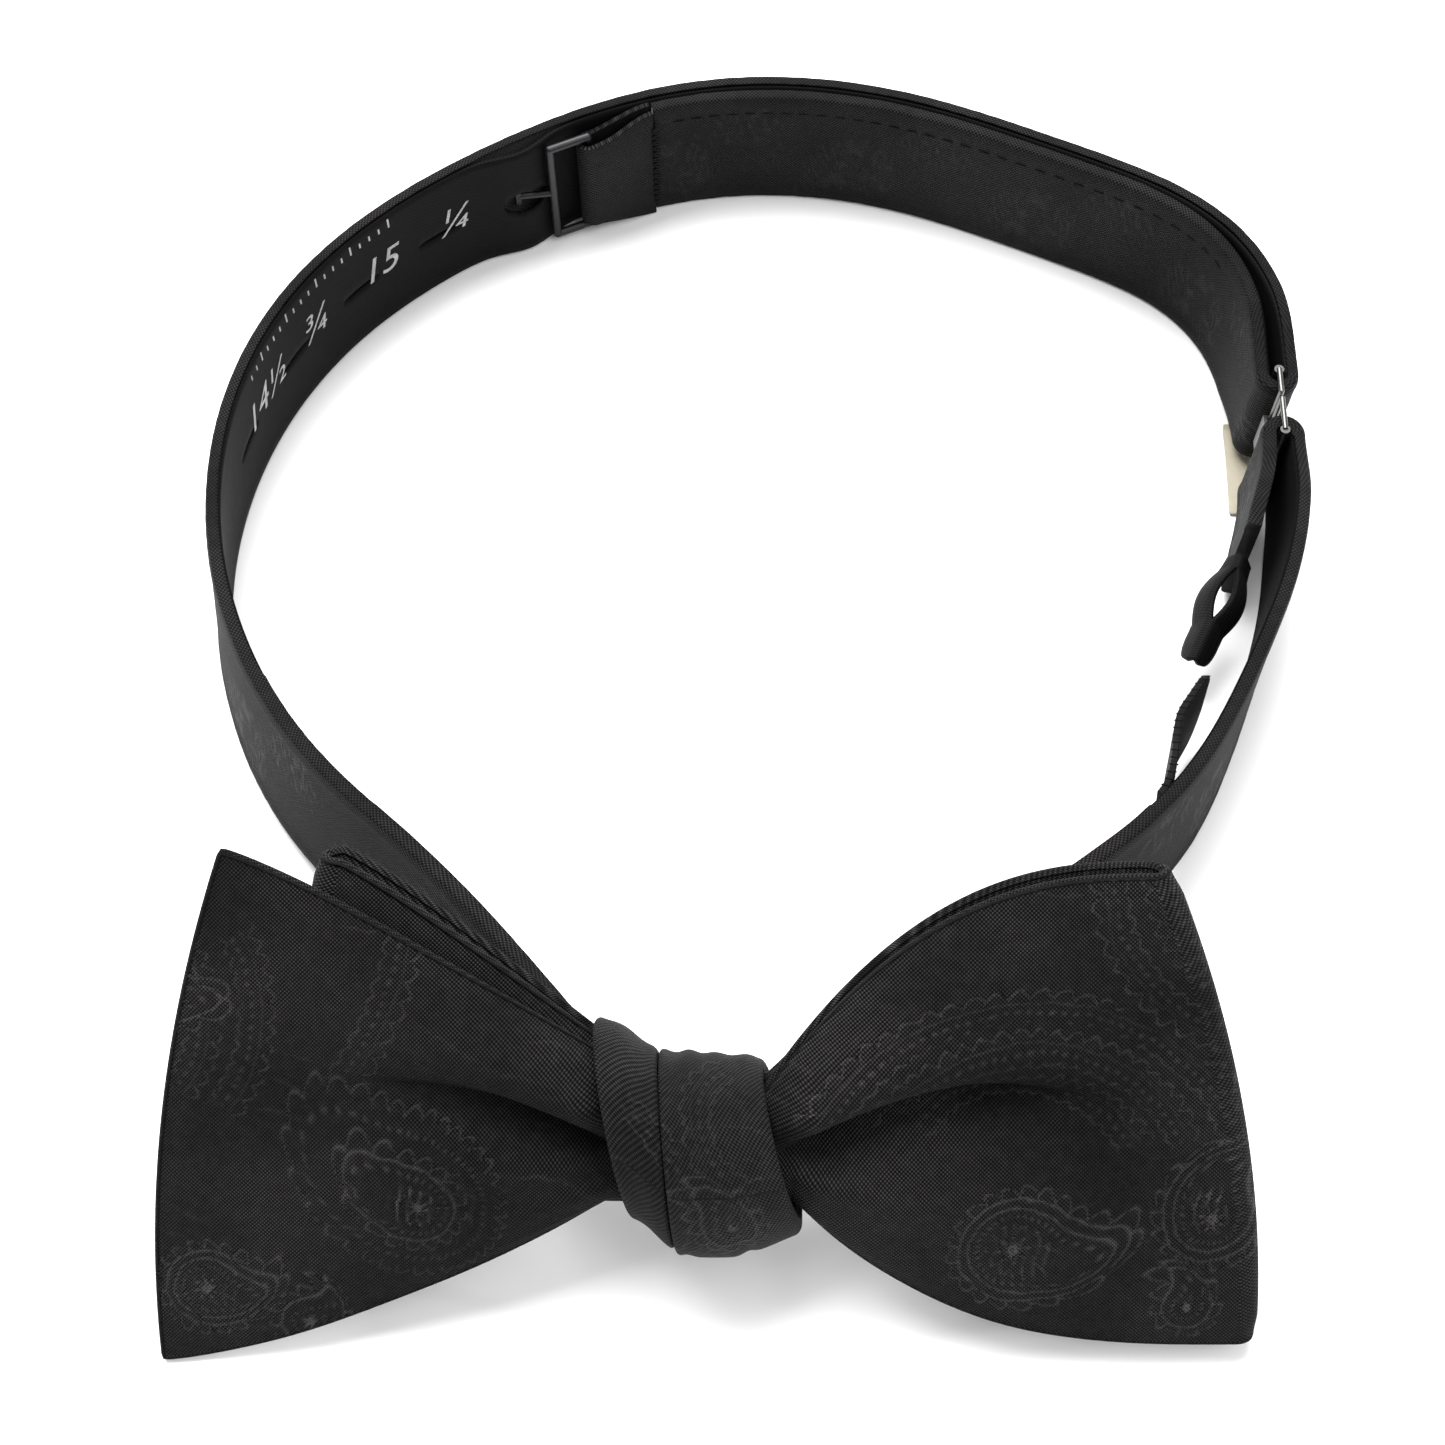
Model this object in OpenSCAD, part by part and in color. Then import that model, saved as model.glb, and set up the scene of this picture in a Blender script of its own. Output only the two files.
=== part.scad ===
// A tied bow tie: paisley jacquard bow, adjustable neckband standing on its edge, T-hook on a
// slotted sizing tape, and a hook-and-eye clasp. Millimetres, +Z up, origin under the middle.

/* [Neck loop] */
// Half of the loop's width, to the middle of the band
loop_half_w = 65.3; // [58:0.5:80]
// Half of the loop's depth, front to back
loop_half_d = 61.6; // [54:0.5:76]
// How far the back right shoulder of the loop stands out
shoulder_out = 7; // [0:0.1:9]
// How far the back left of the loop is drawn in
hollow_in = 2.5; // [0:0.1:4]
// How far the front right of the loop is drawn in
flank_in = 2.3; // [0:0.1:3]
// Width of the neckband, which stands on its edge
strap_w = 20; // [17:0.5:24]

/* [Cloth] */
// Thickness of the jacquard cloth
shell_t = 0.5; // [0.35:0.05:0.6]
// Thickness of the interlining
interlining_t = 0.55; // [0.4:0.05:0.7]
// Thickness of the sizing tape and of the linings
tape_t = 0.6; // [0.4:0.05:0.7]
// Gap left between two plies
ply_gap = 0.05; // [0.03:0.01:0.08]

/* [Bow] */
// How far the bow leans back from upright, in degrees
bow_lean = 46; // [40:1:52]
// From the knot's middle to the loop's middle, front to back
bow_to_loop = 77.8; // [74:0.5:96]
// How far left of the loop's middle the knot sits
knot_left = 6.4; // [0:0.1:8]
// Half length of the left wing's outer edge
left_edge_half = 29; // [26:0.5:34]
// Half length of the right wing's outer edge
right_edge_half = 27; // [24:0.5:32]
// Reach of the left wing at half height, from the knot's middle
left_reach = 52.5; // [46:0.5:60]
// Reach of the right wing at half height
right_reach = 53; // [46:0.5:60]
// How much further a wing reaches at its foot than at half height
reach_slant = 5; // [0:0.5:7]
// Reach of the left rear loop
rear_loop_reach = 38; // [32:0.5:42]
// Reach of the right rear blade
rear_blade_reach = 42; // [36:0.5:45]

/* [Knot] */
// Half length of the knot, along the bow
knot_half_w = 8.8; // [8:0.2:10]
// Half height of the knot
knot_half_h = 11; // [10.4:0.2:12.6]
// Half depth of the knot
knot_half_d = 9.2; // [8.6:0.2:11]
// Wall of the knot's wrapped turns
knot_wall = 1.5; // [1:0.1:1.8]

/* [Sizing tape and T-hook] */
// Spacing of the sizing slits, a quarter inch of collar size each
slit_pitch = 12.7; // [11:0.1:14]
// Length of a sizing slit
slit_len = 6.5; // [5:0.5:8]
// Width of a closed slit
slit_w = 0.7; // [0.5:0.1:1]
// Width of the band at its two narrow folds
fold_w = 15.6; // [13:0.2:16]
// Diameter of the T-hook's wire
hook_wire = 1.1; // [0.9:0.1:1.3]
// Width of the T-hook's frame along the band
hook_frame_w = 5.4; // [4.6:0.2:6]
// Height of the T-hook's crossbar
tee_h = 3; // [2.4:0.1:3.4]

/* [Clasp] */
// Radius of the bars that the band folds round
bar_r = 0.6; // [0.5:0.05:0.65]
// Distance between the two folds' bars
clasp_len = 8.8; // [8.8:0.1:10]
// Height of the clasp hook's tongue
tongue_h = 6; // [5:0.5:8]

/* [Tab, tail and keeper] */
// Length of the turned-back tab
tab_len = 14.5; // [11:0.5:15]
// Length of the tape's free tail
tail_len = 14; // [13:0.5:17]
// Slant width of each flank of the tail
tail_flank = 3.4; // [2.8:0.1:4]
// Length of the keeper flap
keeper_len = 20; // [16:0.5:21]
// Height of the keeper flap
keeper_h = 15; // [12:0.5:16]
// How far the care label reaches past the band's fold
label_len = 10; // [6:0.5:11]

/* [Hidden] */
$fn = 32;

// Plies of the neckband, measured outward from the inner face of the sizing tape.
tape_in = -tape_t;
inter_in = ply_gap;
inter_out = inter_in + interlining_t;
shell_in = inter_out + ply_gap;
shell_out = shell_in + shell_t;
band_t = shell_out - tape_in;

// Angles round the loop, anticlockwise from the right, in degrees.
left_hinge_a = 226;
right_hinge_a = -46;
left_lean = 15;
right_lean = 8;
hinge_gap = 0.35;
shoulder_at = 30;
shoulder_spread = 18;
hollow_at = 125;
hollow_spread = 25;
flank_at = -22;
flank_spread = 17;

function clamp01(x) = min(1, max(0, x));
function ease(x) = let(c = clamp01(x)) c * c * (3 - 2 * c);
function mix(a, b, u) = a + (b - a) * u;
function bump(a, at, spread) = exp(-pow((a - at) / spread, 2));
function unit(v) = v / norm(v);
function steps(a, b, n) = [for (i = [0:n]) mix(a, b, i / n)];

// The loop in plan: an ellipse with a shoulder and a hollow.
function loop_r(a) = 1 / sqrt(pow(cos(a) / loop_half_w, 2) + pow(sin(a) / loop_half_d, 2))
    + shoulder_out * bump(a, shoulder_at, shoulder_spread)
    - hollow_in * bump(a, hollow_at, hollow_spread)
    - flank_in * bump(a, flank_at, flank_spread);
function loop_xy(a) = loop_r(a) * [cos(a), sin(a)];
function loop_out(a) = let(d = unit(loop_xy(a + 0.5) - loop_xy(a - 0.5))) [d.y, -d.x];
function mm_per_deg(a) = norm(loop_xy(a + 0.5) - loop_xy(a - 0.5));

// The box of the whole tie, which puts the origin under its middle.
sweep = [for (a = [-40:2:224])
    loop_xy(a) + (shell_out * cos(lean_at(a)) + strap_w / 2 * sin(lean_at(a))) * loop_out(a)];
box_left = min([for (p = sweep) p.x]);
box_right = max([for (p = sweep) p.x]);
box_back = max([for (p = sweep) p.y]);
blade_t = 2 * shell_t + interlining_t + 2 * ply_gap;
box_front = -bow_to_loop - left_edge_half * sin(bow_lean) - blade_t / 2 * cos(bow_lean);
loop_c = [-(box_left + box_right) / 2, -(box_front + box_back) / 2];

// A station of the band: middle, width direction, outward direction, half width.
function lean_at(a) = a > 90 ? left_lean * ease((a - 150) / 76) : right_lean * ease((-4 - a) / 44);
function lift_at(a) = a > 90 ? 2.2 * ease((a - 200) / 28) : 2.2 * ease((-22 - a) / 26);
function station(c, out, lean, half) = [c, [-sin(lean) * out.x, -sin(lean) * out.y, cos(lean)],
    [cos(lean) * out.x, cos(lean) * out.y, sin(lean)], half];
function height_at(a) = strap_w / 2 * cos(lean_at(a)) + (tape_t + 0.02) * sin(lean_at(a)) + lift_at(a);
function loop_c3(a) = concat(loop_c + loop_xy(a), [height_at(a)]);
function loop_station(a, half = strap_w / 2) = station(loop_c3(a), loop_out(a), lean_at(a), half);

// A band of cloth through stations, between two outward offsets, and two shares of the width.
module ribbon(st, n0, n1, w0 = -1, w1 = 1) {
    k = len(st) - 1;
    function corner(s, n, w) = s[0] + n * s[2] + w * s[3] * s[1];
    pts = [for (s = st) each [corner(s, n0, w0), corner(s, n1, w0), corner(s, n1, w1), corner(s, n0, w1)]];
    sides = [for (i = [0:k - 1], j = [0:3]) let(a = 4 * i + j, b = 4 * i + (j + 1) % 4)
        each j == 3 ? [[a, b, a + 4], [b, b + 4, a + 4]] : [[a, b, b + 4], [a, b + 4, a + 4]]];
    polyhedron(pts, concat([[3, 2, 1], [3, 1, 0]], sides,
        [[4 * k, 4 * k + 1, 4 * k + 2], [4 * k, 4 * k + 2, 4 * k + 3]]));
}

// A sheet through a grid of points, given its two faces as lists of rows.
module sheet(top, bottom) {
    rows = len(top);
    cols = len(top[0]);
    cells = rows * cols;
    function id(i, j) = i * cols + j;
    pts = concat([for (r = top) each r], [for (r = bottom) each r]);
    upper = [for (i = [0:rows - 2], j = [0:cols - 2]) each
        [[id(i, j), id(i, j + 1), id(i + 1, j + 1)], [id(i, j), id(i + 1, j + 1), id(i + 1, j)]]];
    lower = [for (f = upper) [f[0] + cells, f[2] + cells, f[1] + cells]];
    rim = concat([for (i = [0:rows - 2]) id(i, 0)], [for (j = [0:cols - 2]) id(rows - 1, j)],
        [for (i = [rows - 1:-1:1]) id(i, cols - 1)], [for (j = [cols - 1:-1:1]) id(0, j)]);
    m = len(rim);
    wall = [for (k = [0:m - 1]) let(a = rim[k], b = rim[(k + 1) % m]) each
        [[a, b, b + cells], [a, b + cells, a + cells]]];
    polyhedron(pts, concat(upper, lower, wall));
}

/* ---- neckband ---- */

// Straps run from the knot to their hinges on a smooth curve.
knot_c = [loop_c.x - knot_left, loop_c.y - bow_to_loop,
    left_edge_half * cos(bow_lean) + blade_t / 2 * sin(bow_lean)];
rear_leaf_n = -2.7;
strap_root_clear = 0.075;
strap_root_n = rear_leaf_n - blade_t / 2 - strap_root_clear - shell_out;
strap_root_half = 3.9;
strap_root_v = [-2.2, -4.1];
strap_root_u = knot_half_w - 2;
function in_bow(u, v, n) = knot_c + [u, v * sin(bow_lean) - n * cos(bow_lean), v * cos(bow_lean) + n * sin(bow_lean)];
function hermite(p0, m0, p1, m1, u) = (2 * pow(u, 3) - 3 * u * u + 1) * p0 + (pow(u, 3) - 2 * u * u + u) * m0
    + (3 * u * u - 2 * pow(u, 3)) * p1 + (pow(u, 3) - u * u) * m1;
function root_station(p0, m0, p1, m1, u, lean0, lean1, half0, half1) =
    let(d = hermite(p0, m0, p1, m1, u + 0.01) - hermite(p0, m0, p1, m1, u - 0.01),
        t = unit([d.x, d.y]))
    station(hermite(p0, m0, p1, m1, u), [t.y, -t.x], mix(lean0, lean1, ease(u)), mix(half0, half1, ease(u)));
root_pull = 34;
function along(a) = let(o = loop_out(a)) [-o.y, o.x];
function left_root(u) = let(a = left_hinge_a + hinge_gap / mm_per_deg(left_hinge_a), p1 = in_bow(-strap_root_u, strap_root_v[0], strap_root_n))
    root_station(loop_c3(a), concat(along(a) * root_pull, [1]), p1, [28, -18, 3], u,
        lean_at(a), bow_lean, strap_w / 2, strap_root_half);
function right_root(u) = let(a = right_hinge_a - hinge_gap / mm_per_deg(right_hinge_a), p0 = in_bow(strap_root_u, strap_root_v[1], strap_root_n))
    root_station(p0, [29, 15, -3], loop_c3(a), concat(along(a) * root_pull, [-1]), u,
        bow_lean, lean_at(a), strap_root_half, strap_w / 2);

// The two folds at the clasp.
bar_clear = 0.3;
fold_c = tape_in - bar_r - bar_clear;
left_fold_a = 14.4;
right_fold_a = left_fold_a - clasp_len / mm_per_deg(9);
taper_deg = 9;
function left_half(a) = mix(fold_w / 2, strap_w / 2, ease((a - left_fold_a) / taper_deg));
function right_half(a) = mix(fold_w / 2, strap_w / 2, ease((right_fold_a - a) / taper_deg));
left_run = concat(steps(left_fold_a, 30, 4), steps(35, 220, 37), [left_hinge_a - hinge_gap / mm_per_deg(left_hinge_a)]);
left_stations = [for (a = left_run) loop_station(a, left_half(a))];
right_run = concat(steps(right_hinge_a + hinge_gap / mm_per_deg(right_hinge_a), -5, 8), steps(-3, right_fold_a, 3));
right_stations = [for (a = right_run) loop_station(a, right_half(a))];

// The return run lies inside the sizing tape and spreads from it towards the clasp.
return_clear = 0.35;
spread_deg = 26;
hook_a = 112;
loop_seam_deg = 9;
function return_ref(a) = mix(tape_in - return_clear, 2 * fold_c - tape_in, 1 - ease((a - left_fold_a) / spread_deg));
function shifted(a, off, half) = let(s = loop_station(a, half)) [s[0] + off * s[2], s[1], s[2], s[3]];
return_run = concat(steps(left_fold_a, 30, 4), steps(35, 100, 13), [hook_a - loop_seam_deg]);
return_stations = [for (a = return_run) shifted(a, return_ref(a), left_half(a))];

// Half a turn round a clasp bar, from the band's inner side (0) to its outer side (180).
function fold_station(a, turn, phi) = let(o = concat(loop_out(a), [0]), t = concat(along(a), [0]),
    d = -cos(phi) * o - turn * sin(phi) * t)
    [loop_c3(a) + fold_c * o + (bar_r + bar_clear) * d, [0, 0, 1], -d, fold_w / 2];
fold_steps = [for (k = [1:8]) 22.5 * k];
left_fold = [for (k = [7:-1:0]) fold_station(left_fold_a, 1, fold_steps[k])];
right_fold = [for (phi = fold_steps) fold_station(right_fold_a, -1, phi)];
turned_stations = concat(left_fold, return_stations);

module left_strap_root() { color("#2b292a") ribbon([for (u = steps(0, 1, 12)) left_root(u)], tape_in, shell_out); }
module right_strap_root() { color("#2b292a") ribbon([for (u = steps(0, 1, 12)) right_root(u)], tape_in, shell_out); }
module left_strap_shell() { color("#2c2a2b") ribbon(left_stations, shell_in, shell_out); }
module left_strap_interlining() { color("#8b8780") ribbon(left_stations, inter_in, inter_out, -0.94, 0.94); }
module right_strap_shell() { color("#2c2a2b") ribbon(right_stations, shell_in, shell_out); }
module right_strap_interlining() { color("#8b8780") ribbon(right_stations, inter_in, inter_out, -0.94, 0.94); }
module right_strap_lining() { color("#1c1b1c") ribbon(right_stations, tape_in, 0, -0.97, 0.97); }

module return_strap_shell() { color("#2c2a2b") ribbon(turned_stations, -band_t, shell_t - band_t); }
module return_strap_interlining() {
    color("#8b8780") ribbon(turned_stations, -inter_out - tape_t, -inter_in - tape_t, -0.94, 0.94);
}
module return_strap_lining() { color("#1c1b1c") ribbon(turned_stations, -tape_t, 0, -0.97, 0.97); }

/* ---- sizing tape and T-hook ---- */

hook_r = hook_wire / 2;
loop_ply = 0.75;
loop_r0 = hook_r + 0.32;
hook_n = tape_in - return_clear - loop_r0 - loop_ply - 0.1;
tee_reach = 10;
slit_a = hook_a + (tee_reach - 0.7) / mm_per_deg(120);
slit_step = slit_pitch / mm_per_deg(125);
slits_hidden = 4;
slits_shown = 4;
pocket_in = 1.6;
pocket_spread = 4.5;
function pocket_at(a) = pocket_in * bump(a, slit_a, pocket_spread);
tape_run = concat(steps(left_fold_a, 30, 4), steps(35, 100, 13), steps(104, 140, 12), steps(145, 205, 12));
tape_stations = [for (a = tape_run) shifted(a, -pocket_at(a), left_half(a))];

module slit(a, length, height) {
    o = loop_out(a);
    translate(loop_c3(a)) rotate([0, 0, atan2(o.y, o.x)]) rotate([0, 90, 0])
        linear_extrude(height = 8, center = true)
            polygon([for (t = [0:15:345]) [height / 2 * cos(t), length / 2 * sin(t)]]);
}
module sizing_tape() {
    color("#151415") difference() {
        ribbon(tape_stations, tape_in, 0, -0.97, 0.97);
        for (k = [-slits_hidden:slits_shown])
            slit(slit_a + k * slit_step, slit_len, k == 0 ? tee_h + 1.3 : slit_w);
    }
}

// The hook's own frame: x along the band away from the clasp, y inward, from the hidden bar.
hook_mid = loop_c3(hook_a) + hook_n * concat(loop_out(hook_a), [0]);
hook_turn = atan2(along(hook_a).y, along(hook_a).x);
hook_half_h = fold_w / 2 + 0.2 + hook_r;
tee_side = 1.34;
tee_t = 0.7;
module rod(a, b, r) {
    translate(a) rotate([0, acos((b - a).z / norm(b - a)), atan2((b - a).y, (b - a).x)])
        cylinder(h = norm(b - a), r = r);
}
module wire_frame(x0, x1, half_h, r) {
    for (x = [x0, x1]) rod([x, 0, -half_h], [x, 0, half_h], r);
    for (z = [-half_h, half_h]) {
        rod([x0, 0, z], [x1, 0, z], r);
        for (x = [x0, x1]) translate([x, 0, z]) sphere(r = r);
    }
}
module t_hook() {
    color("#54565a") translate(hook_mid) rotate([0, 0, hook_turn]) {
        wire_frame(0, hook_frame_w, hook_half_h, hook_r);
        rod([hook_frame_w, 0, 0], [tee_reach, -tee_side, 0], 0.45);
        translate([tee_reach, -tee_side, 0]) cube([tee_t, tee_t, tee_h], center = true);
    }
}
function hook_half(a) = mix(strap_w / 2, fold_w / 2, ease((a - hook_a + loop_seam_deg) / loop_seam_deg));
loop_run = steps(hook_a - loop_seam_deg + 0.25, hook_a, 5);
function leaf_in(a) = mix(tape_in - return_clear - 2 * loop_ply - 0.15, hook_n - loop_r0,
    ease((a - hook_a + loop_seam_deg) / (loop_seam_deg - 2)));
module hook_loop() {
    color("#2c2a2b") {
        ribbon([for (a = loop_run) shifted(a, 0, hook_half(a))], hook_n + loop_r0, hook_n + loop_r0 + loop_ply);
        ribbon([for (a = loop_run) shifted(a, leaf_in(a), hook_half(a))], -loop_ply, 0);
        translate(hook_mid) rotate([0, 0, hook_turn - 92]) translate([0, 0, -fold_w / 2])
            rotate_extrude(angle = 184) translate([loop_r0, 0]) square([loop_ply, fold_w]);
    }
}
bartack_h = 15;
module hook_loop_bartack() {
    a = hook_a - loop_seam_deg;
    s = shifted(a, return_ref(a) - band_t - 0.75, strap_w / 2);
    color("#3a3839") translate(s[0]) rotate([0, 0, atan2(s[2].y, s[2].x)])
        translate([-0.3, -0.5, -bartack_h / 2]) cube([0.3, 1, bartack_h]);
}

/* ---- clasp ---- */

fold_r = band_t + bar_r + 0.3;
clasp_wire = 0.35;
hook_bar_mid = loop_c3(left_fold_a) + fold_c * concat(loop_out(left_fold_a), [0]);
eye_bar_mid = loop_c3(right_fold_a) + fold_c * concat(loop_out(right_fold_a), [0]);
clasp_span = norm(eye_bar_mid - hook_bar_mid);
clasp_turn = atan2((eye_bar_mid - hook_bar_mid).y, (eye_bar_mid - hook_bar_mid).x);
clasp_half_h = fold_w / 2 + 0.32 + clasp_wire;
front_bar = fold_r + 0.3 + clasp_wire;
eye_bar = front_bar + 2 * clasp_wire + 0.3;
lip_slant = 33;
lip_t = 0.4;
tongue_in = 0.85;
module in_clasp() { translate(hook_bar_mid) rotate([0, 0, clasp_turn]) children(); }
module clasp_hook() {
    lip_off = clasp_wire + 0.3 + lip_t / 2;
    color("#6b6d70") in_clasp() {
        rod([0, 0, -clasp_half_h], [0, 0, clasp_half_h], bar_r);
        rod([front_bar, 0, -clasp_half_h], [front_bar, 0, clasp_half_h], clasp_wire);
        for (z = [-clasp_half_h, clasp_half_h]) {
            rod([0, 0, z], [front_bar, 0, z], clasp_wire);
            translate([front_bar, 0, z]) sphere(r = clasp_wire);
        }
        translate([front_bar - 0.2, -tongue_in - lip_t / 2, -tongue_h / 2])
            cube([eye_bar - front_bar + 0.6, lip_t, tongue_h]);
        translate([front_bar - 0.2, -tongue_in, -tongue_h / 2]) cube([lip_t, tongue_in, tongue_h]);
        translate([eye_bar + lip_off * cos(lip_slant), -lip_off * sin(lip_slant), -tongue_h / 2])
            rotate([0, 0, -lip_slant]) translate([-lip_t / 2, -0.62, 0]) cube([lip_t, 1.6, tongue_h]);
    }
}
module clasp_eye() {
    color("#6b6d70") in_clasp() {
        rod([clasp_span, 0, -clasp_half_h], [clasp_span, 0, clasp_half_h], bar_r);
        rod([eye_bar, 0, -clasp_half_h], [eye_bar, 0, clasp_half_h], clasp_wire);
        for (z = [-clasp_half_h, clasp_half_h]) {
            rod([eye_bar, 0, z], [clasp_span, 0, z], clasp_wire);
            translate([eye_bar, 0, z]) sphere(r = clasp_wire);
        }
    }
}

/* ---- tab, tail and keeper ---- */

tab_end_a = right_fold_a - tab_len / mm_per_deg(0);
tab_spread = 1.6;
function tab_ref(a) = 2 * fold_c - tape_in - tab_spread * ease((right_fold_a - a) / (right_fold_a - tab_end_a));
tab_stations = concat([for (a = steps(tab_end_a, right_fold_a, 6)) shifted(a, tab_ref(a), right_half(a))], right_fold);
module turn_back_tab() { color("#343233") ribbon(tab_stations, -band_t, 0); }

// The tail is a roof-shaped strip whose ridge opens into a buttonhole near the tab.
tail_gap = 0.85;
tail_turn = 14;
tail_top = 13;
tail_drop = 3.5;
tail_slit = 1.8;
tail_ridge = 0.35;
tail_t = 1;
tail_from = shifted(tab_end_a, tab_ref(tab_end_a) - band_t / 2, 1)[0];
tail_head = let(t = along(tab_end_a)) atan2(-t.y, -t.x) - tail_turn;
function tail_open(s) = tail_slit / 2 * sin(180 * clamp01((s - 0.12) / 0.5));
function tail_pt(s, across, down) = let(ahead = tail_gap + s * tail_len)
    [tail_from.x + ahead * cos(tail_head) - across * sin(tail_head),
     tail_from.y + ahead * sin(tail_head) + across * cos(tail_head), tail_top - tail_drop * s - down];
function tail_row(s, under) = let(r = tail_ridge + tail_open(s), w = tail_flank * (s > 0.95 ? 0.6 : 1))
    [tail_pt(s, r + 0.42 * w, 0.9 * w + under), tail_pt(s, r, under),
     tail_pt(s, -r, under), tail_pt(s, -r - 0.42 * w, 0.9 * w + under)];
module tape_tail() {
    color("#3d3b3c") difference() {
        sheet([for (s = steps(0, 1, 12)) tail_row(s, tail_t)], [for (s = steps(0, 1, 12)) tail_row(s, 0)]);
        linear_extrude(height = 30) polygon(concat(
            [for (s = steps(0.14, 0.6, 10)) let(p = tail_pt(s, tail_open(s), 0)) [p.x, p.y]],
            [for (s = steps(0.6, 0.14, 10)) let(p = tail_pt(s, -tail_open(s), 0)) [p.x, p.y]]));
    }
}

keeper_root_a = -42;
keeper_t = 0.8;
keeper_gap = 3.6;
function keeper_n(s) = tape_in - 0.45 - keeper_gap * pow(sin(90 * min(1, s * 1.5)), 2) * (1 - 0.2 * ease(s * 2 - 1));
module tail_keeper() {
    color("#242223") ribbon([for (s = steps(0, 1, 10))
        let(a = keeper_root_a + s * keeper_len / mm_per_deg(-30)) shifted(a, keeper_n(s), keeper_h / 2)], -keeper_t, 0);
}

// The care label is sewn under the return run and lies low beneath the clasp.
label_t = 0.35;
label_root_a = left_fold_a + 2.6;
label_n = [-0.9, -4.6];
label_clear = 0.05;
function label_at(s, n, under) = let(a = label_root_a - s * (label_len + 3.2) / mm_per_deg(12),
    p = loop_c + loop_xy(a) + n * loop_out(a), rise = strap_w / 2 - left_half(label_root_a) - label_clear)
    [p.x, p.y, mix(rise, label_t + 0.1, pow(clamp01(s * 1.25), 0.35)) - under];
module care_label() {
    color("#d9d2bf") sheet([for (s = steps(0, 1, 9)) [for (n = label_n) label_at(s, n, label_t)]],
        [for (s = steps(0, 1, 9)) [for (n = label_n) label_at(s, n, 0)]]);
}

/* ---- bow ---- */

root_u = knot_half_w - 2.5;
edge_bow = 2.8;
blade_half = blade_t / 2;
blade_ply = shell_t;
function reach_at(t, reach, slant) = reach - slant * t + edge_bow * (1 - t * t);
function swell(s, p) = 1 - pow(1 - s, p);
function height_in(w, s, t) = mix(-mix(w[3], w[5], swell(clamp01((s - 0.07) / 0.93), w[7])),
    mix(w[2], w[4], swell(s, w[6])), (t + 1) / 2);

// One wing's shape: reach, slant, top and bottom at the root, top and bottom at the edge, how they swell.
left_front = [left_reach, reach_slant, 5, 8.8, left_edge_half, left_edge_half, 1.15, 1.45];
right_front = [right_reach, reach_slant + 1, 2.4, 8, right_edge_half, right_edge_half - 1, 2.6, 2.8];
left_rear = [rear_loop_reach, 0, 4.6, 8, left_edge_half - 2, left_edge_half - 8.5, 1.1, 1.3];
right_rear = [rear_blade_reach, reach_slant, 2.4, 8, right_edge_half - 4, right_edge_half - 3.5, 1.5, 1.5];
function puff(s, t, depth) = depth * pow(1 - s, 1.3) * sin(180 * abs(t)) * ease(s * 8);
function wing_pt(w, side, s, t, n) = let(d = mix(root_u, reach_at(t, w[0], w[1]), s))
    in_bow(side * d, height_in(w, s, t), n);
t_steps = steps(-1, 1, 8);
s_steps = steps(0, 1, 9);
function blade_rows(w, side, n_root, n_edge, cup, depth, off) = [for (s = s_steps) [for (t = t_steps)
    wing_pt(w, side, s, t, mix(n_root, n_edge, ease(s)) + puff(s, t, depth) - cup * pow(1 - s, 3) * t * t + off)]];
module blade_ply_of(w, side, n_root, n_edge, cup, depth, off0, off1) {
    a = blade_rows(w, side, n_root, n_edge, cup, depth, off0);
    b = blade_rows(w, side, n_root, n_edge, cup, depth, off1);
    if (side > 0) sheet(b, a); else sheet(a, b);
}
face_off = [blade_half - blade_ply, blade_half];
mid_off = [-interlining_t / 2, interlining_t / 2];
module front_blade(off) { blade_ply_of(left_front, -1, 2.3, 0, 0.8, 2.4, off[0], off[1]); }
module rear_blade(off) { blade_ply_of(right_rear, 1, -1.5, -3.9, 0.3, 0, off[0], off[1]); }
module front_blade_face() { color("#2c2a2b") front_blade(face_off); }
module front_blade_interlining() { color("#8b8780") front_blade(mid_off); }
module front_blade_back() { color("#2c2a2b") front_blade([-face_off[1], -face_off[0]]); }
module rear_blade_face() { color("#2c2a2b") rear_blade(face_off); }
module rear_blade_interlining() { color("#8b8780") rear_blade(mid_off); }
module rear_blade_back() { color("#2c2a2b") rear_blade([-face_off[1], -face_off[0]]); }

// A blade folded back on itself: front leaf, round fold, back leaf. off is measured outward.
leaf_steps = steps(0, 1, 8);
function folded_rows(w, side, front_root, back_root, mid_n, r, cup, depth, off) = concat(
    [for (s = leaf_steps) [for (t = t_steps) folded_pt(w, side, s, t, mix(front_root, mid_n + r, ease(s))
        + puff(s, t, depth) - cup * pow(1 - s, 3) * t * t + off, r)]],
    [for (f = [60:-30:-60]) [for (t = t_steps)
        folded_pt(w, side, 1, t, mid_n + (r + off) * sin(f), r, (r + off) * cos(f))]],
    [for (k = [8:-1:0]) let(s = leaf_steps[k]) [for (t = t_steps)
        folded_pt(w, side, s, t, mix(back_root, mid_n - r, ease(s)) - off, r)]]);
function folded_pt(w, side, s, t, n, r, beyond = 0) = let(
    d = mix(root_u, reach_at(t, w[0], w[1]) - r, s) + beyond)
    in_bow(side * d, height_in(w, s, t), n);
module folded(w, side, front_root, back_root, mid_n, r, cup, depth, off0, off1) {
    a = folded_rows(w, side, front_root, back_root, mid_n, r, cup, depth, off0);
    b = folded_rows(w, side, front_root, back_root, mid_n, r, cup, depth, off1);
    if (side > 0) sheet(b, a); else sheet(a, b);
}
loop_fold_r = 1.7;
module front_loop(off) { folded(right_front, 1, 3.6, 0.9, 0, loop_fold_r, 0.9, 3, off[0], off[1]); }
module rear_loop(off) { folded(left_rear, -1, -0.7, rear_leaf_n, -4.1, loop_fold_r, 0.3, 0, off[0], off[1]); }
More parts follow.
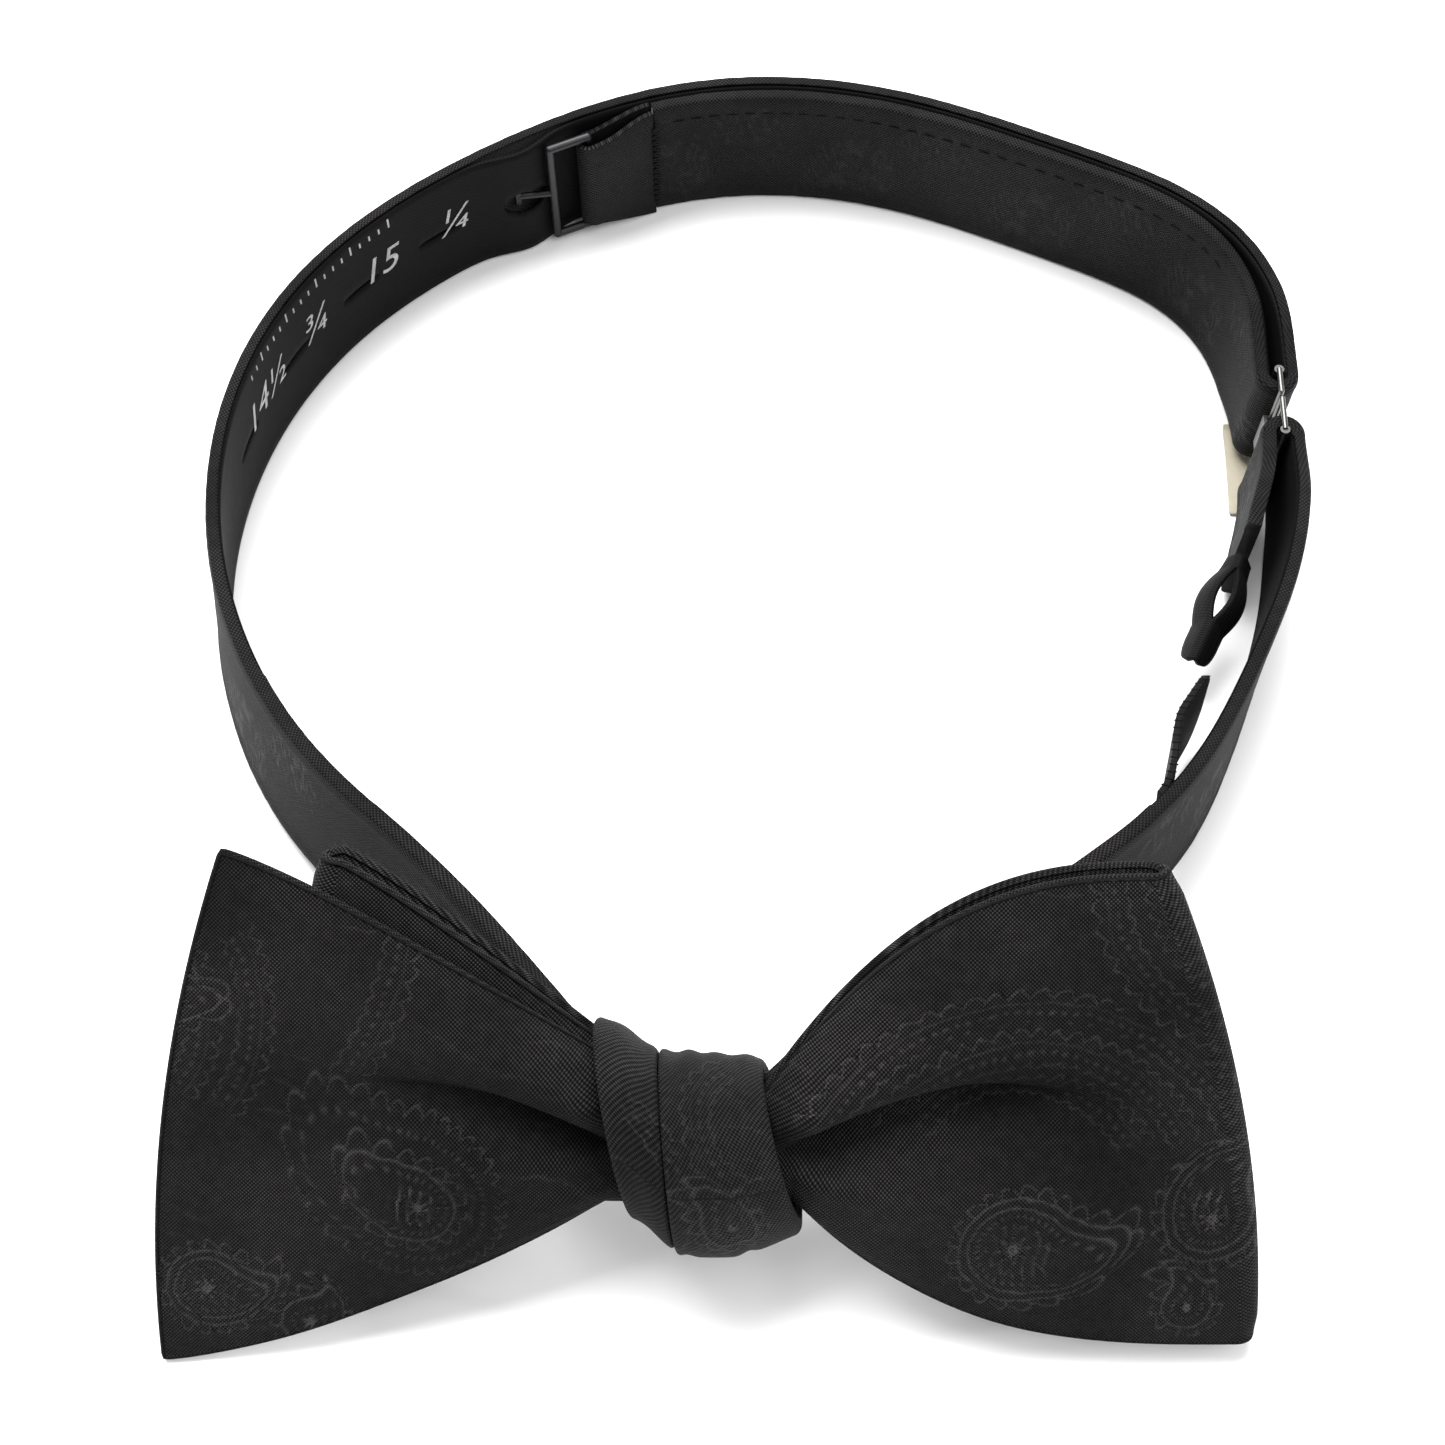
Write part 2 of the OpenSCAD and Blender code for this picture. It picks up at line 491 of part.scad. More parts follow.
module front_loop_shell() { color("#2c2a2b") front_loop(face_off); }
module front_loop_interlining() { color("#8b8780") front_loop(mid_off); }
module front_loop_lining() { color("#262425") front_loop([-face_off[1], -face_off[0]]); }
module rear_loop_shell() { color("#2c2a2b") rear_loop(face_off); }
module rear_loop_interlining() { color("#8b8780") rear_loop(mid_off); }

// The knot: two wrapped turns round a gathered core, as rings along the bow.
knot_a = steps(0, 345, 23);
turn_split = -3.3;
turn_gap = 0.1;
function knot_drop(u) = -0.4 - 4.3 * ease((u + knot_half_w) / 7) + ease((u - 2) / 7);
function knot_slip(u) = -0.9 - 1.2 * ease(abs(u - turn_split) / 7);
function knot_fall(u) = 1 - 0.2 * pow(max(u, 0) / knot_half_w, 2);
function ring(u, inset) = [for (a = knot_a) in_bow(u + knot_slip(u) * sin(a),
    knot_drop(u) + (knot_half_h * knot_fall(u) - inset) * sin(a), (knot_half_d - inset) * cos(a))];
module turn_band(u0, u1, inset) {
    m = len(knot_a);
    us = steps(u0, u1, 6);
    k = len(us);
    pts = concat([for (u = us) each ring(u, inset)], [for (u = us) each ring(u, knot_wall)]);
    side = [for (i = [0:k - 2], j = [0:m - 1]) let(a = i * m + j, b = i * m + (j + 1) % m) each
        [[a, b + m, a + m], [a, b, b + m]]];
    inner = [for (f = side) [f[0] + k * m, f[2] + k * m, f[1] + k * m]];
    caps = [for (j = [0:m - 1]) let(b = (j + 1) % m, e = (k - 1) * m) each [
        [j, b + k * m, b], [j, j + k * m, b + k * m],
        [e + b, e + j + k * m, e + j], [e + b, e + b + k * m, e + j + k * m]]];
    polyhedron(pts, concat(side, inner, caps));
}
module knot_wrap() { color("#2f2d2e") turn_band(turn_split + turn_gap, knot_half_w, 0); }
module knot_under_turn() { color("#2b292a") turn_band(-knot_half_w, turn_split, 0.3); }
core_clear = 0.3;
core_v = -3.3;
module knot_core() {
    d = knot_half_d - knot_wall - core_clear;
    h = knot_half_h - knot_wall - core_clear - 2.4;
    color("#232122") translate(in_bow(0, core_v, 0)) rotate([90 - bow_lean, 0, 0]) rotate([0, 90, 0])
        linear_extrude(height = 2 * root_u - 1.8, center = true)
            polygon([for (a = knot_a) [d * cos(a), h * sin(a)]]);
}

front_blade_face();
front_blade_interlining();
front_blade_back();
front_loop_shell();
front_loop_interlining();
front_loop_lining();
rear_loop_shell();
rear_loop_interlining();
rear_blade_face();
rear_blade_interlining();
rear_blade_back();
knot_wrap();
knot_under_turn();
knot_core();
left_strap_root();
right_strap_root();
left_strap_shell();
left_strap_interlining();
sizing_tape();
return_strap_shell();
return_strap_interlining();
return_strap_lining();
hook_loop();
hook_loop_bartack();
t_hook();
clasp_hook();
clasp_eye();
right_strap_shell();
right_strap_interlining();
right_strap_lining();
turn_back_tab();
tape_tail();
tail_keeper();
care_label();
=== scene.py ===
# Looks for a tied bow tie on its adjustable neckband. Lengths are millimetres until a mesh is made.
import math
import numpy as np
import bmesh
import bpy
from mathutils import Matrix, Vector


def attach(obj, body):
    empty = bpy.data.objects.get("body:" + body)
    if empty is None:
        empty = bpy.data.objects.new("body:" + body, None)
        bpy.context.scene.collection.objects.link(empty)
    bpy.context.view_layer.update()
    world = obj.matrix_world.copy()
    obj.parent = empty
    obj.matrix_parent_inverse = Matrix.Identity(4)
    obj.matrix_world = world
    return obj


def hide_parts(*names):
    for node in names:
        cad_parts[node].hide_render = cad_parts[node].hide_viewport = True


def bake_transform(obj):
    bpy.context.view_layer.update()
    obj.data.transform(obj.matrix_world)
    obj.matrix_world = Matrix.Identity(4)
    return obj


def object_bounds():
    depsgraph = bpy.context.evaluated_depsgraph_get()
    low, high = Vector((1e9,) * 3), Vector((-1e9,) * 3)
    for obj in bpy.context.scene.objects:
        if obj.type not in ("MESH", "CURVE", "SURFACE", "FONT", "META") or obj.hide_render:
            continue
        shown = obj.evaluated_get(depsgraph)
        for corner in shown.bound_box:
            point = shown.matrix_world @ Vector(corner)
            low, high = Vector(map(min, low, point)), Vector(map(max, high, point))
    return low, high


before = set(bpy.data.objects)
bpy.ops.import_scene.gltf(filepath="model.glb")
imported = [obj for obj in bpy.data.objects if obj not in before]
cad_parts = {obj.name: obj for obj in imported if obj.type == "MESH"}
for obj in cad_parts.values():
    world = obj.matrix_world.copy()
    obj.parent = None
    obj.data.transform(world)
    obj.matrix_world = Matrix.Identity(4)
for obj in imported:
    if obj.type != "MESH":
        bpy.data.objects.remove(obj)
cad_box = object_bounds()
MM = 0.001
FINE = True

# ---- driving sizes, as in the part's source ----
loop_half_w, loop_half_d = 65.3, 61.6
shoulder_out, hollow_in, flank_in = 7.0, 2.5, 2.3
strap_w = 20.0
shell_t, interlining_t, tape_t, ply_gap = 0.5, 0.55, 0.6, 0.05
bow_lean, bow_to_loop, knot_left = math.radians(46), 77.8, 6.4
left_edge_half, right_edge_half = 29.0, 27.0
left_reach, right_reach, reach_slant = 52.5, 53.0, 5.0
rear_loop_reach, rear_blade_reach = 38.0, 42.0
knot_half_w, knot_half_h, knot_half_d, knot_wall = 8.8, 11.0, 9.2, 1.5
slit_pitch, slit_len, slit_w = 12.7, 6.5, 0.7
fold_w, hook_wire, tee_h = 15.6, 1.1, 3.0
bar_r, clasp_len = 0.6, 8.8
tab_len, tail_len, tail_flank = 14.5, 14.0, 3.4
keeper_len, keeper_h = 20.0, 15.0

tape_in = -tape_t
inter_out = ply_gap + interlining_t
shell_in = inter_out + ply_gap
shell_out = shell_in + shell_t
band_t = shell_out - tape_in
blade_t = 2 * shell_t + interlining_t + 2 * ply_gap
left_hinge_a, right_hinge_a, left_lean, right_lean = 226.0, -46.0, 15.0, 8.0


def ease(x):
    c = np.clip(x, 0, 1)
    return c * c * (3 - 2 * c)


def mix(a, b, u):
    return a + (b - a) * u


def bump(a, at, spread):
    return np.exp(-((a - at) / spread) ** 2)


def unit(v):
    return v / np.maximum(np.linalg.norm(v, axis=-1, keepdims=True), 1e-9)


def arc_of(path):
    """Running length along a path of points."""
    return np.concatenate([[0], np.cumsum(np.linalg.norm(np.diff(path, axis=0), axis=1))])


def noise(seed, x, y, scale):
    """Smooth repeatable unevenness from a few crossing waves, about -1 to 1."""
    rng = np.random.RandomState(seed)
    total = 0
    for k in range(6):
        turn, phase, size = rng.uniform(0, 6.283), rng.uniform(0, 6.283), rng.uniform(0.6, 1.7)
        total = total + np.sin((x * math.cos(turn) + y * math.sin(turn)) * size * 6.283 / scale + phase)
    return total / 6


# ---- the loop and the band ----
def lean_at(a):
    a = np.asarray(a, float)
    return np.where(a > 90, left_lean * ease((a - 150) / 76), right_lean * ease((-4 - a) / 44))


def lift_at(a):
    a = np.asarray(a, float)
    return np.where(a > 90, 2.2 * ease((a - 200) / 28), 2.2 * ease((-22 - a) / 26))


def loop_xy(a):
    a = np.asarray(a, float)
    t = np.radians(a)
    r = 1 / np.sqrt((np.cos(t) / loop_half_w) ** 2 + (np.sin(t) / loop_half_d) ** 2)
    r = r + shoulder_out * bump(a, 30, 18) - hollow_in * bump(a, 125, 25) - flank_in * bump(a, -22, 17)
    return np.stack([r * np.cos(t), r * np.sin(t)], -1)


def step_at(a):
    return loop_xy(np.asarray(a, float) + 0.5) - loop_xy(np.asarray(a, float) - 0.5)


def loop_out(a):
    d = unit(step_at(a))
    return np.stack([d[..., 1], -d[..., 0]], -1)


def mm_per_deg(a):
    return float(np.linalg.norm(step_at(a)))


sweep = np.arange(-40, 225, 2.0)
rim = loop_xy(sweep) + (shell_out * np.cos(np.radians(lean_at(sweep)))
                        + strap_w / 2 * np.sin(np.radians(lean_at(sweep))))[:, None] * loop_out(sweep)
box_front = -bow_to_loop - left_edge_half * math.sin(bow_lean) - blade_t / 2 * math.cos(bow_lean)
loop_c = np.array([-(rim[:, 0].min() + rim[:, 0].max()) / 2, -(box_front + rim[:, 1].max()) / 2])
knot_c = np.array([loop_c[0] - knot_left, loop_c[1] - bow_to_loop,
                   left_edge_half * math.cos(bow_lean) + blade_t / 2 * math.sin(bow_lean)])


def frames_of(c, out_xy, lean):
    """Middle, width direction and outward direction of the band at some stations."""
    s, k = np.sin(np.radians(lean)), np.cos(np.radians(lean))
    up = np.stack([-s * out_xy[..., 0], -s * out_xy[..., 1], k], -1)
    out = np.stack([k * out_xy[..., 0], k * out_xy[..., 1], s], -1)
    return c, up, out


def band_frames(a):
    a = np.asarray(a, float)
    lean = np.radians(lean_at(a))
    h = strap_w / 2 * np.cos(lean) + (tape_t + 0.02) * np.sin(lean) + lift_at(a)
    c = np.concatenate([loop_c + loop_xy(a), np.asarray(h)[..., None]], -1)
    return frames_of(c, loop_out(a), lean_at(a))


def in_bow(u, v, n):
    u, v, n = np.broadcast_arrays(np.asarray(u, float), v, n)
    s, k = math.sin(bow_lean), math.cos(bow_lean)
    return knot_c + np.stack([u, v * s - n * k, v * k + n * s], -1)


def hermite(p0, m0, p1, m1, u):
    u = np.asarray(u, float)[:, None]
    return ((2 * u ** 3 - 3 * u * u + 1) * p0 + (u ** 3 - 2 * u * u + u) * m0
            + (3 * u * u - 2 * u ** 3) * p1 + (u ** 3 - u * u) * m1)


strap_root_n, strap_root_half, strap_root_v = -4.75, 3.9, (-2.2, -4.1)
strap_root_u, root_pull = knot_half_w - 2, 34.0


def root_frames(p0, m0, p1, m1, u, lean0, lean1, half0, half1):
    c = hermite(p0, m0, p1, m1, u)
    d = (hermite(p0, m0, p1, m1, u + 0.01) - hermite(p0, m0, p1, m1, u - 0.01))[:, :2]
    t = unit(d)
    out = np.stack([t[:, 1], -t[:, 0]], -1)
    c, up, o = frames_of(c, out, mix(lean0, lean1, ease(u)))
    return c, up, o, mix(half0, half1, ease(u))


def along3(a):
    o = loop_out(a)
    return np.array([-o[1], o[0], 0.0])


def pull_at(a, rise):
    return along3(a) * root_pull + np.array([0, 0, rise])


bow_lean_deg = math.degrees(bow_lean)
u_root = np.linspace(0, 1, 41)
left_root = root_frames(band_frames(left_hinge_a)[0], pull_at(left_hinge_a, 1.0),
                        in_bow(-strap_root_u, strap_root_v[0], strap_root_n), np.array([28, -18, 3.0]),
                        u_root, float(lean_at(left_hinge_a)), bow_lean_deg, strap_w / 2, strap_root_half)
right_root = root_frames(in_bow(strap_root_u, strap_root_v[1], strap_root_n), np.array([29, 15, -3.0]),
                         band_frames(right_hinge_a)[0], pull_at(right_hinge_a, -1.0),
                         u_root, bow_lean_deg, float(lean_at(right_hinge_a)), strap_root_half, strap_w / 2)

bar_clear = 0.3
fold_c = tape_in - bar_r - bar_clear
left_fold_a = 14.4
right_fold_a = left_fold_a - clasp_len / mm_per_deg(9)
hook_a, return_clear, spread_deg, loop_seam_deg = 112.0, 0.35, 26.0, 9.0
tab_spread = 1.6
tab_end_a = right_fold_a - tab_len / mm_per_deg(0)


def left_half(a):
    return mix(fold_w / 2, strap_w / 2, ease((a - left_fold_a) / 9))


def right_half(a):
    return mix(fold_w / 2, strap_w / 2, ease((right_fold_a - a) / 9))


def return_ref(a):
    return mix(tape_in - return_clear, 2 * fold_c - tape_in, 1 - ease((a - left_fold_a) / spread_deg))


def tab_ref(a):
    return 2 * fold_c - tape_in - tab_spread * ease((right_fold_a - a) / (right_fold_a - tab_end_a))


# ---- mesh building ----
def link(obj):
    bpy.context.scene.collection.objects.link(obj)
    return obj


def make(name, points, faces, mat, uv=None, figure=None, smooth=True):
    """A mesh from millimetre points, with a cloth UV in millimetres and a figure height."""
    me = bpy.data.meshes.new(name)
    points = np.asarray(points, float).reshape(-1, 3)
    me.from_pydata((points * MM).tolist(), [], [list(map(int, f)) for f in faces])
    me.validate()
    if uv is not None:
        layer = me.uv_layers.new(name="cloth")
        idx = np.zeros(len(me.loops), np.int64)
        me.loops.foreach_get("vertex_index", idx)
        layer.data.foreach_set("uv", np.asarray(uv, np.float32).reshape(-1, 2)[idx].ravel())
    if figure is not None:
        attr = me.attributes.new("figure", "FLOAT", "POINT")
        attr.data.foreach_set("value", np.asarray(figure, np.float32).ravel())
    if smooth:
        me.polygons.foreach_set("use_smooth", np.ones(len(me.polygons), bool))
    me.materials.append(mat)
    me.update()
    return link(bpy.data.objects.new(name, me))


def cells(rows, cols, wrap_rows=False, wrap_cols=False):
    i = np.arange(rows if wrap_rows else rows - 1)[:, None]
    j = np.arange(cols if wrap_cols else cols - 1)[None, :]
    i2, j2 = (i + 1) % rows, (j + 1) % cols
    return np.stack([i * cols + j, i * cols + j2, i2 * cols + j2, i2 * cols + j], -1).reshape(-1, 4)


def normals(p):
    return unit(np.cross(np.gradient(p, axis=0), np.gradient(p, axis=1)))


def rim_of(rows, cols):
    return ([(i, 0) for i in range(rows - 1)] + [(rows - 1, j) for j in range(cols - 1)]
            + [(i, cols - 1) for i in range(rows - 1, 0, -1)] + [(0, j) for j in range(cols - 1, 0, -1)])


def pillow(name, mid, thick, mat, uv, figure=None, flip=False):
    """A closed sheet round a grid of middle points, with soft rounded edges."""
    rows, cols = mid.shape[:2]
    nrm = normals(mid) * (-1 if flip else 1)
    thick = np.broadcast_to(np.asarray(thick, float), (rows, cols))
    front = mid + nrm * thick[..., None] / 2
    back = mid - nrm * thick[..., None] / 2
    edge = rim_of(rows, cols)
    ids = np.array([i * cols + j for i, j in edge])
    inner = np.array([(min(max(i, 1), rows - 2)) * cols + min(max(j, 1), cols - 2) for i, j in edge])
    flat = mid.reshape(-1, 3)
    outward = unit(flat[ids] - flat[inner])
    n_e, t_e = nrm.reshape(-1, 3)[ids], thick.reshape(-1)[ids][:, None]
    outward = unit(outward - (outward * n_e).sum(1, keepdims=True) * n_e)
    turns = np.radians([36, 72, 108, 144])
    loops = [flat[ids] + t_e / 2 * (math.cos(q) * n_e + math.sin(q) * outward) for q in turns]
    pts = np.concatenate([front.reshape(-1, 3), back.reshape(-1, 3)] + loops)
    total = rows * cols
    quads = cells(rows, cols)
    faces = [quads, quads[:, ::-1] + total]
    m = len(ids)
    rings = [ids] + [2 * total + k * m + np.arange(m) for k in range(len(turns))] + [ids + total]
    for a, b in zip(rings[:-1], rings[1:]):
        faces.append(np.stack([a, b, np.roll(b, -1), np.roll(a, -1)], -1))
    faces = np.concatenate(faces)
    if flip:
        faces = faces[:, ::-1]
    uvf = uv.reshape(-1, 2)
    away = unit(uvf[ids] - uvf[inner])
    uvs = np.concatenate([uvf, uvf] + [uvf[ids] + away * t_e / 2 * q for q in turns])
    figs = None
    if figure is not None:
        f = figure.reshape(-1)
        figs = np.concatenate([f, f] + [f[ids] * 0] * len(turns))
    return make(name, pts, faces, mat, uvs, figs)


def tube(name, rings, mat, uv, figure=None):
    """A closed skin through rings of points, with flat ends."""
    k, m = rings.shape[:2]
    ends = [list(range(m)), list(range((k - 1) * m, k * m))[::-1]]
    obj = make(name, rings, cells(k, m, wrap_cols=True).tolist() + ends, mat, uv, figure)
    fix_normals(obj)
    return obj


def fix_normals(obj):
    bm = bmesh.new()
    bm.from_mesh(obj.data)
    bmesh.ops.recalc_face_normals(bm, faces=bm.faces)
    bm.to_mesh(obj.data)
    bm.free()
    obj.data.update()


def solidify(obj, thickness):
    mod = obj.modifiers.new("thick", "SOLIDIFY")
    mod.thickness = thickness * MM
    mod.offset = 0.0
    mod.use_even_offset = False
    bpy.context.view_layer.update()
    dg = bpy.context.evaluated_depsgraph_get()
    done = bpy.data.meshes.new_from_object(obj.evaluated_get(dg))
    obj.modifiers.clear()
    obj.data = done
    done.polygons.foreach_set("use_smooth", np.ones(len(done.polygons), bool))
    fix_normals(obj)
    return obj


def ring_section(half, outer, lip, inner):
    """The band's cross-section as (width, depth) points: rolled edges round an open or closed inner side."""
    edge_r, lip_r, lip_w, puff = 0.5, 0.16, 0.42, 0.12
    ws = np.linspace(-1, 1, 21)
    pts = [((half - edge_r) * w, outer - puff * math.exp(-(((1 - abs(w)) * half - 0.9) / 0.6) ** 2)) for w in ws]
    pts += [(half - edge_r + edge_r * math.sin(q), outer + edge_r - edge_r * math.cos(q))
            for q in np.radians([22, 45, 68, 90])]
    right = [(half, lip - lip_r), (half - lip_r * 0.3, lip - lip_r * 0.3), (half - lip_r, lip),
             (half - 2 * lip_r, lip - lip_r * 0.6), (half - lip_w, inner)]
    pts += right
    pts += [((half - lip_w) * w, inner) for w in np.linspace(0.8, -0.8, 9)]
    pts += [(-w, d) for w, d in right[::-1]]
    pts += [(-(half - edge_r + edge_r * math.sin(q)), outer + edge_r - edge_r * math.cos(q))
            for q in np.radians([90, 68, 45, 22])]
    return np.array(pts)


def sweep_band(name, c, up, out, halves, lips, inners, mat, seed, figure_of):
    """A band tube along frames. Depth runs from the tape's inner face (0) to the shell's outer face (-band_t)."""
    arc = arc_of(c)
    rings, uvs, figs = [], [], []
    for i, at in enumerate(arc):
        sec = ring_section(halves[i], -band_t, lips[i], inners[i])
        wide, deep, here = sec[:, 0], sec[:, 1], np.full(len(sec), at)
        rough = 0.05 * noise(seed, here, wide, 2.6) + 0.09 * noise(seed + 1, here, wide * 0.2, 19)
        edge = np.clip((np.abs(wide) - halves[i] + 1.2) / 1.2, 0, 1)
        w = wide * (1 + 0.006 * noise(seed + 2, at, 0, 3.1)) + np.sign(wide) * edge * rough * 0.9
        d = deep + np.where(deep < -band_t * 0.7, rough, 0) * 0.5
        rings.append(c[i] + w[:, None] * up[i] + d[:, None] * out[i])
        uvs.append(np.stack([here, arc_of(sec)], -1))
        figs.append(figure_of(at, wide) * (deep < -band_t * 0.8))
    return tube(name, np.array(rings), mat, np.array(uvs), np.array(figs))


# ---- materials ----
def new_mat(name):
    mat = bpy.data.materials.new(name)
    mat.use_nodes = True
    nt = mat.node_tree
    return mat, nt, nt.nodes["Principled BSDF"]


def math_node(nt, op, a, b=None):
    n = nt.nodes.new("ShaderNodeMath")
    n.operation = op
    for k, v in enumerate([a, b]):
        if v is None:
            continue
        if isinstance(v, (int, float)):
            n.inputs[k].default_value = v
        else:
            nt.links.new(v, n.inputs[k])
    return n.outputs[0]


def plus(nt, a, b):
    return math_node(nt, "ADD", a, b)


def times(nt, a, b):
    return math_node(nt, "MULTIPLY", a, b)


def ramp(nt, fac, stops):
    r = nt.nodes.new("ShaderNodeValToRGB")
    while len(r.color_ramp.elements) < len(stops):
        r.color_ramp.elements.new(0.5)
    for e, (p, col) in zip(r.color_ramp.elements, stops):
        e.position = p
        e.color = (*col, 1)
    nt.links.new(fac, r.inputs[0])
    return r.outputs[0]


def noise_tex(nt, scale, detail):
    n = nt.nodes.new("ShaderNodeTexNoise")
    n.inputs["Scale"].default_value = scale
    n.inputs["Detail"].default_value = detail
    n.inputs["Roughness"].default_value = 0.55
    c = nt.nodes.new("ShaderNodeTexCoord")
    nt.links.new(c.outputs["Object"], n.inputs["Vector"])
    return n.outputs["Fac"]


def bump_node(nt, height, strength, distance, under=None):
    b = nt.nodes.new("ShaderNodeBump")
    b.inputs["Strength"].default_value = strength
    b.inputs["Distance"].default_value = distance
    nt.links.new(height, b.inputs["Height"])
    if under is not None:
        nt.links.new(under, b.inputs["Normal"])
    return b.outputs["Normal"]


def weave_height(nt, pitch_u, pitch_v, twill=0.0):
    """Threads over and under from the cloth UV, which is in millimetres."""
    uvn = nt.nodes.new("ShaderNodeUVMap")
    uvn.uv_map = "cloth"
    sep = nt.nodes.new("ShaderNodeSeparateXYZ")
    nt.links.new(uvn.outputs[0], sep.inputs[0])
    u, v = sep.outputs[0], sep.outputs[1]
    if twill:
        u = plus(nt, u, times(nt, v, twill))
    su = math_node(nt, "SINE", times(nt, u, 2 * math.pi / pitch_u))
    sv = math_node(nt, "SINE", times(nt, v, 2 * math.pi / pitch_v))
    return plus(nt, times(nt, times(nt, su, sv), 0.5), 0.5)


def cloth(name, low, high, rough=(0.55, 0.8), pitch=(0.43, 0.43), weave=0.5, sheen=0.25, figure=1.0, twill=0.0,
          spec=0.35, lint=0.25):
    mat, nt, p = new_mat(name)
    w = weave_height(nt, pitch[0], pitch[1], twill)
    fuzz = noise_tex(nt, 900.0, 4.0)
    cloud = noise_tex(nt, 55.0, 3.0)
    fig = nt.nodes.new("ShaderNodeAttribute")
    fig.attribute_name = "figure"
    f = fig.outputs["Fac"]
    patch = ramp(nt, noise_tex(nt, 45.0, 2.0), [(0.34, (0.5, 0.5, 0.5)), (0.64, (1, 1, 1))])
    dots = times(nt, math_node(nt, "POWER", w, 2.0), patch)
    # figure lines are lightened in the base colour: partly the figure threads' own lighter tone, partly a painted
    # highlight standing in for light catching the raised threads
    tone = plus(nt, times(nt, f, 0.5 * figure), times(nt, dots, 0.7))
    tone = plus(nt, tone, times(nt, fuzz, lint))
    tone = plus(nt, tone, times(nt, cloud, 0.12))
    nt.links.new(ramp(nt, tone, [(0.2, low), (0.6, mix3(low, high, 0.3)), (1.0, high)]), p.inputs["Base Color"])
    r = math_node(nt, "SUBTRACT", rough[1], times(nt, f, rough[1] - rough[0]))
    nt.links.new(plus(nt, r, times(nt, fuzz, 0.1)), p.inputs["Roughness"])
    n1 = bump_node(nt, f, 1.0, 0.00045 * figure) if figure else None
    n2 = bump_node(nt, w, weave, 0.00014, n1)
    nt.links.new(bump_node(nt, fuzz, 0.35, 0.00006, n2), p.inputs["Normal"])
    p.inputs["Specular IOR Level"].default_value = spec
    p.inputs["Sheen Weight"].default_value = sheen
    p.inputs["Sheen Roughness"].default_value = 0.45
    return mat


def mix3(a, b, t):
    return tuple(x + (y - x) * t for x, y in zip(a, b))


def metal(name, base, rough, spread):
    mat, nt, p = new_mat(name)
    fine = noise_tex(nt, 700.0, 3.0)
    nt.links.new(ramp(nt, fine, [(0.3, mix3(base, (0, 0, 0), 0.15)), (0.75, base)]), p.inputs["Base Color"])
    nt.links.new(plus(nt, rough, times(nt, fine, spread)), p.inputs["Roughness"])
    nt.links.new(bump_node(nt, fine, 0.15, 0.00003), p.inputs["Normal"])
    p.inputs["Metallic"].default_value = 1.0
    return mat


jacquard = cloth("jacquard", (0.0010, 0.0009, 0.0010), (0.062, 0.058, 0.061), rough=(0.45, 0.7), weave=1.0,
                 sheen=0.01, spec=0.05)
knot_cloth = cloth("jacquard_knot", (0.0011, 0.0010, 0.0011), (0.066, 0.062, 0.065), twill=0.2, pitch=(0.46, 0.5),
                   sheen=0.012, weave=0.9, rough=(0.42, 0.65), spec=0.07)
strap_cloth = cloth("jacquard_strap", (0.0010, 0.0009, 0.0010), (0.048, 0.045, 0.048), rough=(0.42, 0.62),
                    pitch=(0.5, 0.5), weave=0.7, sheen=0.01, figure=0.3, spec=0.07)
lining_cloth = cloth("lining_cloth", (0.0010, 0.0009, 0.0010), (0.014, 0.0135, 0.014), figure=0.0,
                     pitch=(0.35, 0.35), sheen=0.005, spec=0.05)
tape_cloth = cloth("sizing_tape", (0.0012, 0.0011, 0.0012), (0.014, 0.0135, 0.014), rough=(0.5, 0.6), figure=0.0,
                   pitch=(0.5, 0.28), weave=0.35, sheen=0.005, lint=0.2, spec=0.06)
satin = cloth("satin_tape", (0.0014, 0.0013, 0.0014), (0.020, 0.019, 0.020), rough=(0.45, 0.6), figure=0.0,
              pitch=(0.3, 0.9), weave=0.5, sheen=0.01, spec=0.07)
felt = cloth("interlining", (0.010, 0.0095, 0.009), (0.030, 0.028, 0.026), figure=0.0, pitch=(0.8, 0.8), lint=0.5)
thread = cloth("thread", (0.004, 0.0039, 0.004), (0.03, 0.029, 0.03), figure=0.0, pitch=(0.2, 0.2), spec=0.08,
               sheen=0.01)
ink = cloth("white_print", (0.16, 0.16, 0.16), (0.6, 0.6, 0.59), figure=0.0, pitch=(0.5, 0.28), sheen=0.0, lint=0.7)
cream = cloth("label_cloth", (0.33, 0.30, 0.23), (0.52, 0.49, 0.41), figure=0.0, pitch=(0.35, 0.3), sheen=0.1,
              lint=0.4)
gunmetal = metal("gunmetal", (0.035, 0.035, 0.037), 0.36, 0.16)
nickel = metal("nickel", (0.13, 0.127, 0.124), 0.3, 0.12)

for node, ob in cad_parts.items():
    mat = {"t_hook": gunmetal, "clasp_hook": nickel, "clasp_eye": nickel, "knot_core": felt}.get(node)
    if mat or "interlining" in node:
        ob.data.materials.clear()
        ob.data.materials.append(mat or felt)


# ---- the woven figure ----
line_w, bead_w = 0.17, 0.24


def ridge(d, w):
    return np.exp(-(d / w) ** 2)


def wrap(phi):
    return (phi + math.pi) % (2 * math.pi) - math.pi


